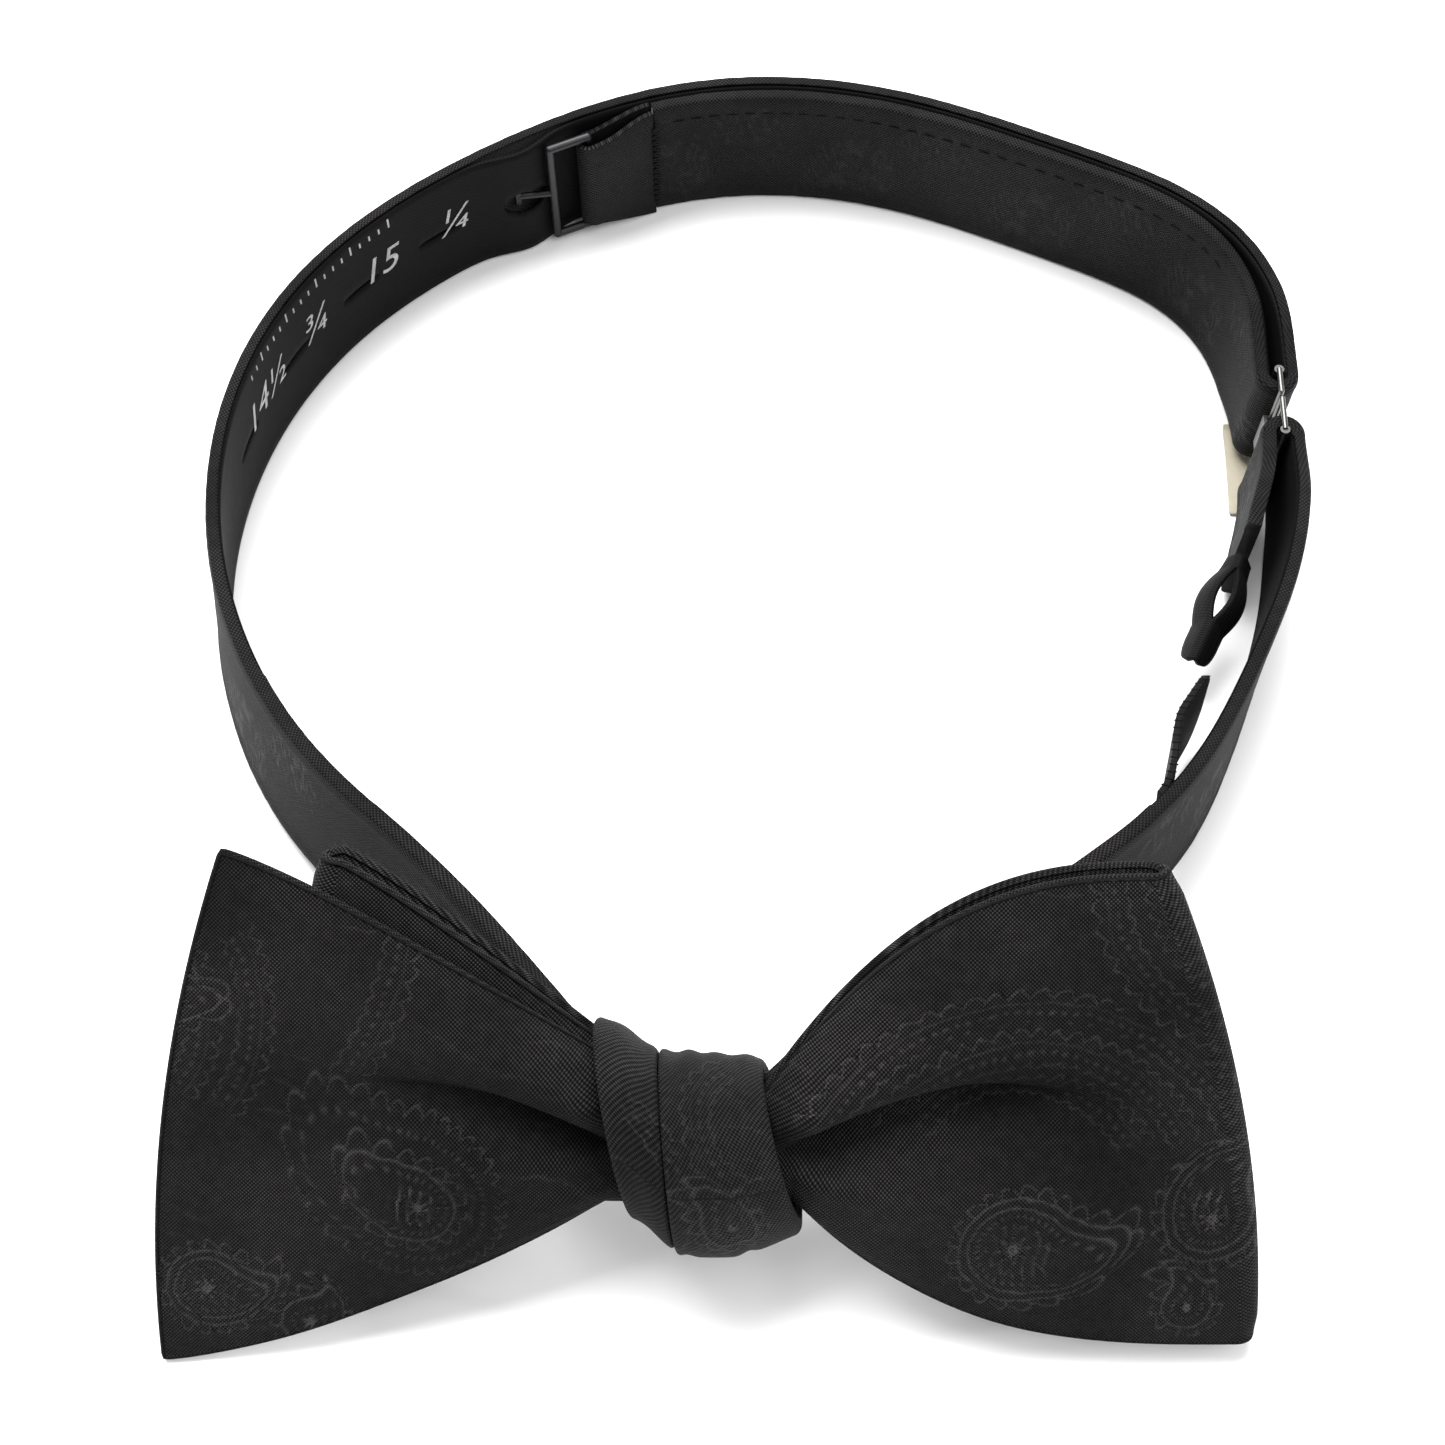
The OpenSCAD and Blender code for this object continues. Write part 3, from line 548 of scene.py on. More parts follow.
class Figure:
    """A raised figure over a plane, laid down motif by motif in thin embroidered lines."""

    def __init__(self, x, y, seed):
        self.x, self.y, self.seed = x, y, seed
        self.wob = (0.26 * noise(seed + 50, x, y, 2.3) + 0.4 * noise(seed + 51, x, y, 6)
                    + 0.2 * noise(seed + 52, x, y, 1.1))
        warp = 2.4 * noise(seed, x, y, 24)
        patch = ease(2.2 * noise(seed + 7, x, y, 19))
        lines = ridge(np.sin((x * 0.35 + y * 0.95 + warp + self.wob) * 2 * math.pi / 7.5), 0.13)
        self.h = 0.22 * patch * lines

    def over(self, mask, value):
        self.h = self.h * (1 - mask) + value * mask

    def drop(self, cx, cy, turn, r0, tail=0.0, width=0.5, swirl=0.0, scallops=18, rings=(0.0, 1.3), beads=2.5,
             filled=0.35, strength=1.0):
        dx, dy = self.x - cx + 0.5 * self.wob, self.y - cy + 0.5 * self.wob
        r = np.hypot(dx, dy) + 1e-6
        phi = wrap(np.arctan2(dy, dx) - math.radians(turn) - math.radians(swirl) * np.clip(r / r0 - 0.5, 0, 4))
        rim = r0 * (1 + tail / (1 + (phi / width) ** 2))
        d = (r - rim) * r0 / rim * (1 + 0.35 * tail / (1 + (phi / width) ** 2))
        lobes = np.abs(np.sin(phi * scallops / 2))
        mask = 1 / (1 + np.exp(np.clip((d - 1.6) * 5, -30, 30)))
        value = 0 * d
        for off in rings:
            value = value + 0.75 * ridge(d + off, line_w)
        value += 0.6 * ridge(d + beads, bead_w) * ease(0.5 + np.cos(phi * scallops * 1.5))
        value += 0.75 * ridge(d - 0.95 * lobes - 0.3, line_w)
        core = r / r0
        inside = (d < -beads - 0.8)
        petals = 0.55 + 0.45 * np.cos(phi * 8)
        star = ridge((core - 0.28 * petals) * r0, 0.3) + ridge((core - 0.07) * r0, 0.35)
        hatch = filled * (np.sin(self.x * 5.6 + 1.5 * np.sin(self.y * 1.1)) > 0.3)
        veins = 0.7 * ridge(np.sin(phi * 5 + core * 5), 0.2) * ridge(core - 0.62, 0.2)
        value += inside * (0.8 * star + hatch * ridge(core - 0.6, 0.2) + veins)
        self.over(mask * strength, np.clip(value, 0, 1))

    def garland(self, cx, cy, radius, a0, a1, lobe=2.2, width=3.0, strength=1.0, squash=1.0):
        """A scalloped band of beads along an arc."""
        dx, dy = self.x - cx + 0.6 * self.wob, (self.y - cy) / squash + 0.6 * self.wob
        r = np.hypot(dx, dy)
        phi = np.degrees(np.arctan2(dy, dx))
        mid, half = (a0 + a1) / 2, abs(a1 - a0) / 2
        off = np.abs((phi - mid + 180) % 360 - 180)
        inside = ease((half + 3 - off) / 6)
        d = r - radius
        run = np.radians(phi) * radius
        lobes = np.abs(np.sin(run * math.pi / lobe))
        value = 0.75 * ridge(d - 1.2 - 0.9 * lobes, line_w) + 0.4 * ridge(d - 0.7, 0.11)
        value += 0.6 * ridge(d + 0.3, bead_w) * ease(0.5 + np.cos(run * 2 * math.pi / 1.25))
        value += 0.7 * ridge(d + 1.3 + 0.5 * lobes, line_w)
        value *= 0.6 + 0.4 * ease(0.55 + 0.9 * noise(self.seed + 60, self.x, self.y, 7))
        self.over(inside * (np.abs(d) < width) * strength, np.clip(value, 0, 1))


def left_figure(u, v):
    f = Figure(u, v, 3)
    f.garland(-66.0, 27.0, 37.0, -42, 4, strength=0.8)
    f.garland(-64.0, 13.0, 19.0, -38, 24, lobe=1.8, strength=0.9)
    f.garland(-64.0, 12.0, 13.5, -40, 30, lobe=1.6, strength=0.9)
    f.drop(-54.0, 13.5, 0, 2.6, tail=1.1, width=0.4, scallops=10, rings=(0.0,), beads=1.2)
    f.drop(-28.0, -9.0, 172, 6.4, tail=1.6, width=0.6, swirl=-16, scallops=34, rings=(), beads=0.9, strength=0.75)
    f.drop(-29.0, -9.2, 172, 3.5, tail=1.6, width=0.55, swirl=-14, scallops=16, rings=(0.0,), beads=0.8, filled=0.9,
           strength=0.85)
    f.drop(-52.2, -20.0, -30, 4.3, tail=0.8, width=0.4, swirl=30, scallops=18, rings=(0.0, 0.9), beads=1.8)
    f.drop(-41.5, -24.0, 10, 2.9, tail=0.8, width=0.4, swirl=40, scallops=12, rings=(0.0,), beads=1.2)
    return f.h


def right_figure(u, v):
    f = Figure(u, v, 8)
    f.garland(33.0, -9.0, 24.0, 22, 150, squash=0.95)
    f.garland(33.0, -9.0, 18.5, 22, 150, strength=0.9, lobe=1.8)
    f.garland(33.0, -9.0, 13.8, 30, 140, strength=0.8, lobe=1.6)
    f.garland(60.0, 28.0, 19.0, 165, 250, strength=0.9)
    f.garland(60.0, 28.0, 13.5, 165, 250, strength=0.8, lobe=1.7)
    f.drop(32.7, -13.4, -38, 5.6, tail=1.2, width=0.42, swirl=25, scallops=20, rings=(0.0, 1.0), beads=1.9)
    f.drop(53.5, -11.0, 110, 4.6, tail=1.3, swirl=-30, rings=(0.0, 1.1), beads=2.0, filled=0.7)
    f.drop(51.5, -21.5, 60, 2.4, tail=1.2, width=0.42, swirl=30, scallops=10, rings=(0.0,), beads=1.1)
    return f.h


def plain_figure(seed):
    """The same cloth away from the wings: motifs at a regular repeat."""
    def height(x, y):
        x, y = np.broadcast_arrays(np.asarray(x, float), y)
        px = (x + 0.35 * y) % 26 - 13
        f = Figure(px, np.asarray(y, float), seed)
        f.garland(-7.0, -9.0, 13.0, 0, 180)
        f.drop(4.0, -2.0, 160, 3.4, tail=1.2, swirl=25, scallops=16, rings=(0.0, 0.9), beads=1.6)
        f.drop(-7.0, 4.5, -40, 2.0, tail=1.0, width=0.4, swirl=30, scallops=10, rings=(0.0,), beads=0.9)
        return 0.9 * f.h
    return height


# ---- wings ----
root_u, edge_bow = knot_half_w - 2.5, 2.8
# reach, slant, heights above and below at the root and then at the edge, and how soon each of the two swells
left_front = (left_reach, reach_slant, 5, 8.8, left_edge_half, left_edge_half, 1.15, 1.45)
right_front = (right_reach, reach_slant + 1, 2.4, 8, right_edge_half, right_edge_half - 1, 2.6, 2.8)
left_rear = (rear_loop_reach, 0, 4.6, 8, left_edge_half - 2, left_edge_half - 8.5, 1.1, 1.3)
right_rear = (rear_blade_reach, reach_slant, 2.4, 8, right_edge_half - 4, right_edge_half - 3.5, 1.5, 1.5)


def swell(s, p):
    return 1 - (1 - s) ** p


def height_in(w, s, t):
    low = -mix(w[3], w[5], swell(np.clip((s - 0.07) / 0.93, 0, 1), w[7]))
    return mix(low, mix(w[2], w[4], swell(s, w[6])), (t + 1) / 2)


def reach_at(t, reach, slant):
    return reach - slant * t + edge_bow * (1 - t * t)


def pleat(w, s, t, depth, hollow, fade_from, fade_to, seed):
    """The wing's fullness on each side of its pinched centre, the deep fold there, and small gathers."""
    v, top, low = height_in(w, s, t), height_in(w, s, 1.0), height_in(w, s, -1.0)
    u = mix(root_u, w[0], s)
    line = -3.2 + 7.6 * np.sin(math.pi * np.clip((u - 6) / 50, 0, 1))
    dv = v - line
    share = np.clip(np.where(dv > 0, dv / (top - line), dv / (low - line)), 0, 1)
    full = depth * (1 - s) ** 1.3 * np.sin(math.pi * share) * ease(s * 8)
    fade = ease((u - 6.5) / 6) * (1 - ease((u - fade_from) / (fade_to - fade_from)))
    fold = np.where(dv > 0, np.exp(-(dv / 1.5) ** 2), np.exp(-(dv / 4.6) ** 2))
    brow = 0.55 * np.exp(-((dv - 4.2) / 3.2) ** 2) - 0.12 * np.exp(-((dv + 8) / 4) ** 2)
    fan = 0.3 * (1 - s) ** 2.4 * ease(s * 7) * (np.sin(t * 9 + seed) + 0.6 * np.sin(t * 17 - 2 * seed))
    return full + hollow * fade * (brow - fold) + fan * (1 - np.exp(-(dv / 3) ** 2))


def pressed(s, t, at_edge=True):
    """The wing's thickness: full inside, thinner where its edges are turned and pressed."""
    rim = (1 - np.abs(t)) * 24
    if at_edge:
        rim = np.minimum(rim, (1 - s) * 50)
    return blade_t * (0.62 + 0.38 * ease(rim / 2.6))


def wing_grid(w, side, s, t, n, beyond=0.0, r=0.0):
    d = mix(root_u, reach_at(t, w[0], w[1]) - r, s) + beyond
    return side * d, height_in(w, s, t), n


def blade(name, w, side, n_root, n_edge, cup, depth, hollow, figure_fn, step, seed):
    rows, cols = int(50 / step), int(56 / step)
    s, t = np.meshgrid(np.linspace(0, 1, rows), np.linspace(-1, 1, cols), indexing="ij")
    n = mix(n_root, n_edge, ease(s)) + pleat(w, s, t, depth, hollow, 15, 40, seed) - cup * (1 - s) ** 3 * t * t
    u, v, n = wing_grid(w, side, s, t, n)
    n = n + 0.25 * noise(seed, u, v, 30) * ease(s * 3) * (1 - s ** 6)
    mid = in_bow(u, v, n)
    fig = figure_fn(u, v)
    return pillow(name, mid, pressed(s, t), jacquard, np.stack([u, v], -1), fig, flip=side > 0)


def folded(name, w, side, front_root, back_root, mid_n, r, cup, depth, hollow, figure_fn, step, seed):
    rows, cols = int(46 / step), int(52 / step)
    t = np.linspace(-1, 1, cols)[None, :]
    s = np.linspace(0, 1, rows)[:, None]
    front_n = (mix(front_root, mid_n + r, ease(s)) + pleat(w, s, t, depth, hollow, 24, 48, seed)
               - cup * (1 - s) ** 3 * t * t)
    u, v, n = np.broadcast_arrays(*wing_grid(w, side, s, t, front_n, r=r))
    n = n + 0.25 * noise(seed, u, v, 30) * ease(s * 3) * (1 - s ** 6)
    q = np.radians(np.linspace(78, -78, 11))[:, None]
    fold = np.broadcast_arrays(*wing_grid(w, side, np.ones_like(q), t, mid_n + r * np.sin(q), r * np.cos(q), r))
    sb = s[::-1]
    back = np.broadcast_arrays(*wing_grid(w, side, sb, t, mix(back_root, mid_n - r, ease(sb)) + 0 * t, r=r))
    u, v, n = [np.concatenate([a, b, c]) for a, b, c in zip((u, v, n), fold, back)]
    mid = in_bow(u, v, n)
    fig = figure_fn(u, v)
    run = np.concatenate([u[:rows], 2 * u[rows - 1] - u[rows:]])
    return pillow(name, mid, pressed(0 * u, t + 0 * u, False), jacquard, np.stack([run, v], -1), fig, flip=side > 0)


step_fine = 0.22 if FINE else 0.32
left_wing = blade("left_wing", left_front, -1, 2.3, 0, 0.8, 2.6, 2.3, left_figure, step_fine, 3)
right_wing = folded("right_wing", right_front, 1, 3.6, 0.9, 0, 1.7, 0.9, 3.0, 2.7, right_figure, step_fine, 5)
rear_wing = folded("left_rear_loop", left_rear, -1, -0.7, -2.7, -4.1, 1.7, 0.3, 0.0, 0.0, plain_figure(12), 0.4, 7)
rear_blade = blade("right_rear_blade", right_rear, 1, -1.5, -3.9, 0.3, 0.0, 0.0, plain_figure(15), 0.5, 9)
for ob, nodes, flat, area in [
        (left_wing, ["front_blade_face", "front_blade_back", "front_blade_interlining"], (0.058, 0.052), 0.0023),
        (right_wing, ["front_loop_shell", "front_loop_lining", "front_loop_interlining"], (0.053, 0.098), 0.0038),
        (rear_wing, ["rear_loop_shell", "rear_loop_interlining"], (0.048, 0.066), 0.0023),
        (rear_blade, ["rear_blade_face", "rear_blade_back", "rear_blade_interlining"], (0.047, 0.04), 0.0015)]:
    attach(ob, "bow")
    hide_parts(*nodes)


# ---- the knot ----
turn_split, turn_gap = -3.3, 0.1


def knot_ring(u, a, inset):
    drop = -0.4 - 4.3 * ease((u + knot_half_w) / 7) + ease((u - 2) / 7)
    slip = -0.9 - 1.2 * ease(np.abs(u - turn_split) / 7)
    fall = 1 - 0.2 * (np.maximum(u, 0) / knot_half_w) ** 2
    high = (knot_half_h * fall - inset) * np.sin(a)
    return in_bow(u + slip * np.sin(a), drop + high, (knot_half_d - inset) * np.cos(a))


def creases(u, a, seed):
    """Gathers that run round the turn, and a V of soft creases that opens downward on its face."""
    face, v = ease(np.cos(a) * 2), np.sin(a)
    ribs = 0.13 * np.sin(u * 1.9 + 1.6 * np.sin(a + seed) + seed) * (0.5 + 0.5 * v)
    spread = u - 1.0 - 0.6 * v
    low = np.clip(0.25 - v, 0, 1)
    vee = 0.38 * ridge(spread - 2.9 * low, 0.75) + 0.3 * ridge(spread + 2.6 * low, 0.75)
    brow = 0.22 * ridge(spread, 1.3) * ridge(v - 0.25, 0.4)
    return ribs - vee * face * ease(low * 2.4) + brow * face + 0.12 * noise(seed, u, a * 9, 6)


def knot_figure(x, y, seed):
    """Scalloped lines across the turn, fading in and out; the front of the knot is where y is near 0 or 62.8."""
    along = (y + 31.4) % 62.8 - 31.4
    f = Figure(x, along, seed)
    f.garland(-9.0, -3.0, 9.5, -70, 75, lobe=1.7, strength=0.8)
    f.garland(9.0, 7.0, 8.0, 120, 250, lobe=1.9, strength=0.7)
    f.drop(2.6, -4.0, 80, 2.3, tail=1.4, swirl=20, scallops=12, rings=(0.0,), beads=1.1, strength=0.8)
    return 0.9 * np.clip(f.h, 0, 1)


def turn(name, u0, u1, inset, seed, na, nu):
    a = np.linspace(0, 2 * math.pi, na, endpoint=False)[:, None]
    r = 0.55
    q = np.linspace(0, math.pi / 2, 6)[:-1]
    us = np.concatenate([u0 + r - r * np.cos(q), np.linspace(u0 + r, u1 - r, nu), u1 - r + r * np.sin(q)[1:], [u1]])
    ins = np.concatenate([r - r * np.sin(q), np.zeros(nu), r - r * np.cos(q)[1:], [r]])
    back_u = np.linspace(u1, u0, 9)
    us_all = np.concatenate([us, back_u])
    ins_all = np.concatenate([inset + ins, np.full(9, knot_wall - 0.05)])
    outer = np.concatenate([np.ones(len(us)), np.zeros(9)])
    uu, aa = np.broadcast_arrays(us_all[None, :], a)
    inside = ease((uu - u0) / 1.2) * ease((u1 - uu) / 1.2)
    depth = ins_all[None, :] - creases(uu, aa, seed) * outer[None, :] * inside
    pts = knot_ring(uu, aa, np.clip(depth, -0.3, 9))
    faces = cells(*pts.shape[:2], wrap_rows=True, wrap_cols=True)
    uv = np.stack([uu, aa * 10.0], -1)
    fig = knot_figure(uu, aa * 10.0, seed) * outer[None, :]
    ob = make(name, pts, faces, knot_cloth, uv, fig)
    fix_normals(ob)
    return ob


na = 300 if FINE else 200
knot_wrap = turn("knot_wrap_cloth", turn_split + turn_gap, knot_half_w, 0.0, 2, na, 44)
under_turn = turn("knot_under_cloth", -knot_half_w, turn_split, 0.3, 6, na, 22)
for ob, node, flat, area in [(knot_wrap, "knot_wrap", (0.0140, 0.062), 0.00084),
                             (under_turn, "knot_under_turn", (0.01, 0.062), 0.00042)]:
    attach(ob, "bow")
    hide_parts(node)

# ---- the neckband: left strap with its return, right strap with its tab ----
def fold_frames(a, turn_dir, phi):
    c, _, _ = band_frames(a)
    o = np.append(loop_out(a), 0)
    t = along3(a)
    phi = np.radians(phi)[:, None]
    d = -np.cos(phi) * o - turn_dir * np.sin(phi) * t
    cc = c + fold_c * o + (bar_r + bar_clear) * d
    return cc, np.broadcast_to(np.array([0, 0, 1.0]), cc.shape), -d


def joined(parts):
    return [np.concatenate([p[k] for p in parts]) for k in range(len(parts[0]))]


lip_open, in_open, in_shut = -0.32, -(shell_in - tape_in), -0.02
step_band = 0.35 if FINE else 0.8
a_left = np.linspace(left_hinge_a, left_fold_a, int(330 / step_band))
a_ret = np.linspace(left_fold_a, hook_a - loop_seam_deg, int(120 / step_band))
phi_fold = np.linspace(180, 0, 19)[1:-1]


def outer_run(c, up, out):
    return c + tape_in * out, up, -out


def even(n, *values):
    return [np.full(n, value) for value in values]


lr_c, lr_up, lr_out, lr_half = [v[::-1][:-1] for v in left_root]
parts = [(*outer_run(lr_c, lr_up, lr_out), lr_half, *even(len(lr_half), 0.0, in_shut))]
shut_l = ease(a_left - 204.2)
parts.append((*outer_run(*band_frames(a_left)), left_half(a_left), mix(lip_open, 0.0, shut_l),
              mix(in_open, in_shut, shut_l)))
parts.append((*fold_frames(left_fold_a, 1, phi_fold), *even(len(phi_fold), fold_w / 2, lip_open, in_open)))
rc, ru, ro = band_frames(a_ret)
rc = rc + return_ref(a_ret)[:, None] * ro
parts.append((rc, ru, ro, left_half(a_ret), *even(len(a_ret), lip_open, in_open)))
left_path = joined(parts)
left_strap = sweep_band("left_strap_cloth", *left_path, strap_cloth, 21, figure_of=plain_figure(31))

a_right = np.linspace(right_hinge_a, right_fold_a, int(75 / step_band))
a_tab = np.linspace(right_fold_a, tab_end_a, int(tab_len / step_band))
rr_c, rr_up, rr_out, rr_half = [v[:-1] for v in right_root]
parts = [(*outer_run(rr_c, rr_up, rr_out), rr_half, *even(len(rr_half), 0.0, in_shut))]
open_r = ease((a_right - right_hinge_a - 0.9) * 3) * ease((right_fold_a - 0.2 - a_right) * 3)
parts.append((*outer_run(*band_frames(a_right)), right_half(a_right), mix(0.0, lip_open, open_r),
              mix(in_shut, in_open, open_r)))
parts.append((*fold_frames(right_fold_a, -1, phi_fold), *even(len(phi_fold), fold_w / 2, 0.0, in_shut)))
tc, tu, to = band_frames(a_tab)
tab_half = right_half(a_tab) * (1 - 0.25 * ease((a_tab[0] - a_tab) / tab_len * 1.2 - 0.4))
parts.append((tc + tab_ref(a_tab)[:, None] * to, tu, to, tab_half, *even(len(a_tab), 0.0, in_shut)))
right_path = joined(parts)
right_strap = sweep_band("right_strap_cloth", *right_path, strap_cloth, 24, figure_of=plain_figure(35))

left_pin = band_frames(left_hinge_a)[0]
right_pin = band_frames(right_hinge_a)[0]


def across_hinge(ob):
    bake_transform(ob)


for ob, body, pin, path, nodes in [
        (left_strap, "left_strap", left_pin, left_path,
         ["left_strap_root", "left_strap_shell", "return_strap_shell"]),
        (right_strap, "right_strap", right_pin, right_path,
         ["right_strap_root", "right_strap_shell", "turn_back_tab"])]:
    across_hinge(ob)
    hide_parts(*nodes)


def strip(name, c, up, out, halves, w_share, n0, n1, mat):
    """A thin closed strip along frames, between two depths."""
    ws = np.linspace(-w_share, w_share, 13)
    ring = [(w, n1) for w in ws] + [(w, n0) for w in ws[::-1]]
    rows = np.array([[c[i] + w * halves[i] * up[i] + n * out[i] for w, n in ring] for i in range(len(c))])
    across = np.concatenate([np.linspace(0, 1, len(ws)), np.linspace(1, 0, len(ws))])
    uv = np.stack(np.broadcast_arrays(arc_of(c)[:, None], across * 2 * halves[:, None]), -1)
    ob = tube(name, rows, mat, uv)
    bev = ob.modifiers.new("edge", "BEVEL")
    bev.width = 0.12 * MM
    bev.segments = 2
    bev.limit_method = "ANGLE"
    bev.angle_limit = math.radians(50)
    return ob


# lining through the clasp fold and down the return run
lin = joined([(*fold_frames(left_fold_a, 1, np.linspace(180, 8, 20)), np.full(20, fold_w / 2)),
              (rc, ru, ro, left_half(a_ret))])
return_lining = strip("return_lining", *lin, 0.955, -tape_t, 0.0, lining_cloth)
a_rl = np.linspace(right_hinge_a + 0.6, right_fold_a, 90)
bc, bu, bo = band_frames(a_rl)
right_lining = strip("right_lining", bc, bu, bo, right_half(a_rl), 0.955, tape_in, 0.0, lining_cloth)
for ob, body, node, flat in [(return_lining, "left_strap", "return_strap_lining", (0.0195, 0.118)),
                             (right_lining, "right_strap", "right_strap_lining", (0.0195, 0.062))]:
    if ob is right_lining:
        across_hinge(ob)
    else:
        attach(ob, body)
    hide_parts(node)

# interlinings run from the hinges along the straps, with the cloth round them
for name, angles, half, body, pin in [
        ("left_interlining", np.linspace(left_hinge_a, left_fold_a, 420), left_half, "left_strap", left_pin),
        ("right_interlining", np.linspace(right_hinge_a, right_fold_a, 120), right_half, "right_strap", right_pin)]:
    c, up, out = band_frames(angles)
    ob = strip(name, c, up, out, half(angles), 0.93, ply_gap, inter_out, felt)
    across_hinge(ob)
    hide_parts(body + "_interlining")

# ---- the sizing tape, its slits, numerals and ticks ----
slit_a = hook_a + 9.3 / mm_per_deg(120)
slit_step = slit_pitch / mm_per_deg(125)
tape_angles = np.linspace(205, left_fold_a, 900 if FINE else 450)
tape_arc = arc_of(loop_xy(tape_angles))


def pocket(a):
    return 1.6 * bump(a, slit_a, 4.5)


def slit_gap(a):
    """Half the opening of the slits at an angle."""
    arc = np.interp(a, tape_angles[::-1], tape_arc[::-1])
    gap = np.zeros_like(arc)
    for k in range(-4, 5):
        at = np.interp(slit_a + k * slit_step, tape_angles[::-1], tape_arc[::-1])
        x = (arc - at) / (slit_len / 2)
        tall = (tee_h + 1.3) / 2 if k == 0 else slit_w / 2
        gap = np.maximum(gap, tall * np.sqrt(np.clip(1 - x * x, 0, 1)))
    return gap


def zipped(name, pts, uv, col, shut, mat):
    """A sheet without one strip of cells, its two sides sewn together on the rows where it is shut."""
    rows, cols = pts.shape[:2]
    merge = np.arange(rows * cols)
    for i in np.flatnonzero(shut):
        merge[i * cols + col + 1] = i * cols + col
    quads = merge[np.array([f for f in cells(rows, cols) if f[0] % cols != col])]
    used = np.unique(quads)
    remap = np.full(len(merge), -1)
    remap[used] = np.arange(len(used))
    return make(name, pts.reshape(-1, 3)[used], remap[quads], mat, uv.reshape(-1, 2)[used])


def tape_mesh():
    c, up, out = band_frames(tape_angles)
    c = c - pocket(tape_angles)[:, None] * out
    gap = slit_gap(tape_angles)
    upper = [mix(gap, left_half(tape_angles) * 0.955, x) for x in np.linspace(0, 1, 9)]
    rows_w = np.stack([-w for w in upper[::-1]] + upper, 1)
    pts = c[:, None, :] + rows_w[..., None] * up[:, None, :] + (tape_in / 2) * out[:, None, :]
    uv = np.stack(np.broadcast_arrays(tape_arc[:, None], rows_w), -1)
    return solidify(zipped("sizing_tape_cloth", pts, uv, len(upper) - 1, gap < 1e-6, tape_cloth), tape_t * 0.96)


tape = tape_mesh()
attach(tape, "left_strap")
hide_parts("sizing_tape")


def on_tape(x, z, lift):
    """x runs along the tape from the hook's slit away from the clasp, z up, lift inward."""
    base = np.interp(slit_a, tape_angles[::-1], tape_arc[::-1])
    a = np.interp(base - x, tape_arc, tape_angles)
    c, up, out = band_frames(a)
    n = tape_in - lift - pocket(a)
    return c + np.asarray(z)[..., None] * up + np.asarray(n)[..., None] * out


def print_text(body, x, z, size):
    cu = bpy.data.curves.new("num", "FONT")
    cu.body = body
    cu.size = size
    cu.align_x = "CENTER"
    cu.align_y = "CENTER"
    cu.shear = 0.28
    ob = link(bpy.data.objects.new("num", cu))
    bpy.context.view_layer.update()
    me = bpy.data.meshes.new_from_object(ob.evaluated_get(bpy.context.evaluated_depsgraph_get()))
    co = np.array([v.co for v in me.vertices])
    faces = [list(p.vertices) for p in me.polygons]
    bpy.data.objects.remove(ob)
    bpy.data.meshes.remove(me)
    return on_tape(x - co[:, 0], z + co[:, 1], 0.035), faces, co[:, :2]


prints = []
for k, (whole, part) in enumerate([("15", "¼"), ("15", ""), ("14", "¾"), ("14", "½")]):
    x = 10.3 + 12.2 * k
    label = part if k in (0, 2) else (whole + part)
    prints.append(print_text(label, x, 1.2, 6.6 if k in (0, 2) else 6.2))
tick_x = np.arange(20.0, 50.0, 1.6)
for i, x in enumerate(tick_x):
    tall = 1.6 if i % 4 == 0 else 0.9
    q = np.array([[0, 0], [0.28, 0], [0.28, tall], [0, tall]])
    prints.append((on_tape(x - q[:, 0], 7.2 + q[:, 1], 0.035), [[0, 1, 2, 3]], q))
pts, faces, uvs, base = [], [], [], 0
for p, f, q in prints:
    pts.append(p)
    uvs.append(q)
    faces += [[v + base for v in face] for face in f]
    base += len(p)
numerals = make("size_numerals", np.concatenate(pts), faces, ink, np.concatenate(uvs), smooth=False)
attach(numerals, "left_strap")

# ---- the T-hook's cloth loop and its bartack ----
hook_r, loop_ply = hook_wire / 2, 0.75
loop_r0 = hook_r + 0.32
hook_n = tape_in - return_clear - loop_r0 - loop_ply - 0.1
hook_mid = band_frames(hook_a)[0] + hook_n * np.append(loop_out(hook_a), 0)
o_h, t_h = np.append(loop_out(hook_a), 0), along3(hook_a)
a_leaf = np.linspace(hook_a - loop_seam_deg + 0.25, hook_a, 20)


def hook_half(a):
    return mix(strap_w / 2, fold_w / 2, ease((a - hook_a + loop_seam_deg) / loop_seam_deg))


def leaf_in(a):
    share = ease((a - hook_a + loop_seam_deg) / (loop_seam_deg - 2))
    return mix(tape_in - return_clear - 2 * loop_ply - 0.15, hook_n - loop_r0, share)


lc, lu, lo = band_frames(a_leaf)
q = np.radians(np.linspace(80, -80, 14))[:, None]
arc_o = np.sin(q) * o_h + np.cos(q) * t_h
arc_c = hook_mid + (loop_r0 + loop_ply / 2) * arc_o
path = joined([
    (lc + (hook_n + loop_r0 + loop_ply / 2) * lo, lu, lo, hook_half(a_leaf)),
    (arc_c, np.broadcast_to(np.array([0, 0, 1.0]), arc_c.shape), arc_o, np.full(14, fold_w / 2)),
    (lc[::-1] + (leaf_in(a_leaf[::-1]) - loop_ply / 2)[:, None] * lo[::-1], lu[::-1], -lo[::-1],
     hook_half(a_leaf[::-1]))])
hook_loop = strip("hook_loop_cloth", *path, 0.99, -loop_ply / 2, loop_ply / 2, strap_cloth)
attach(hook_loop, "left_strap")
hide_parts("hook_loop")


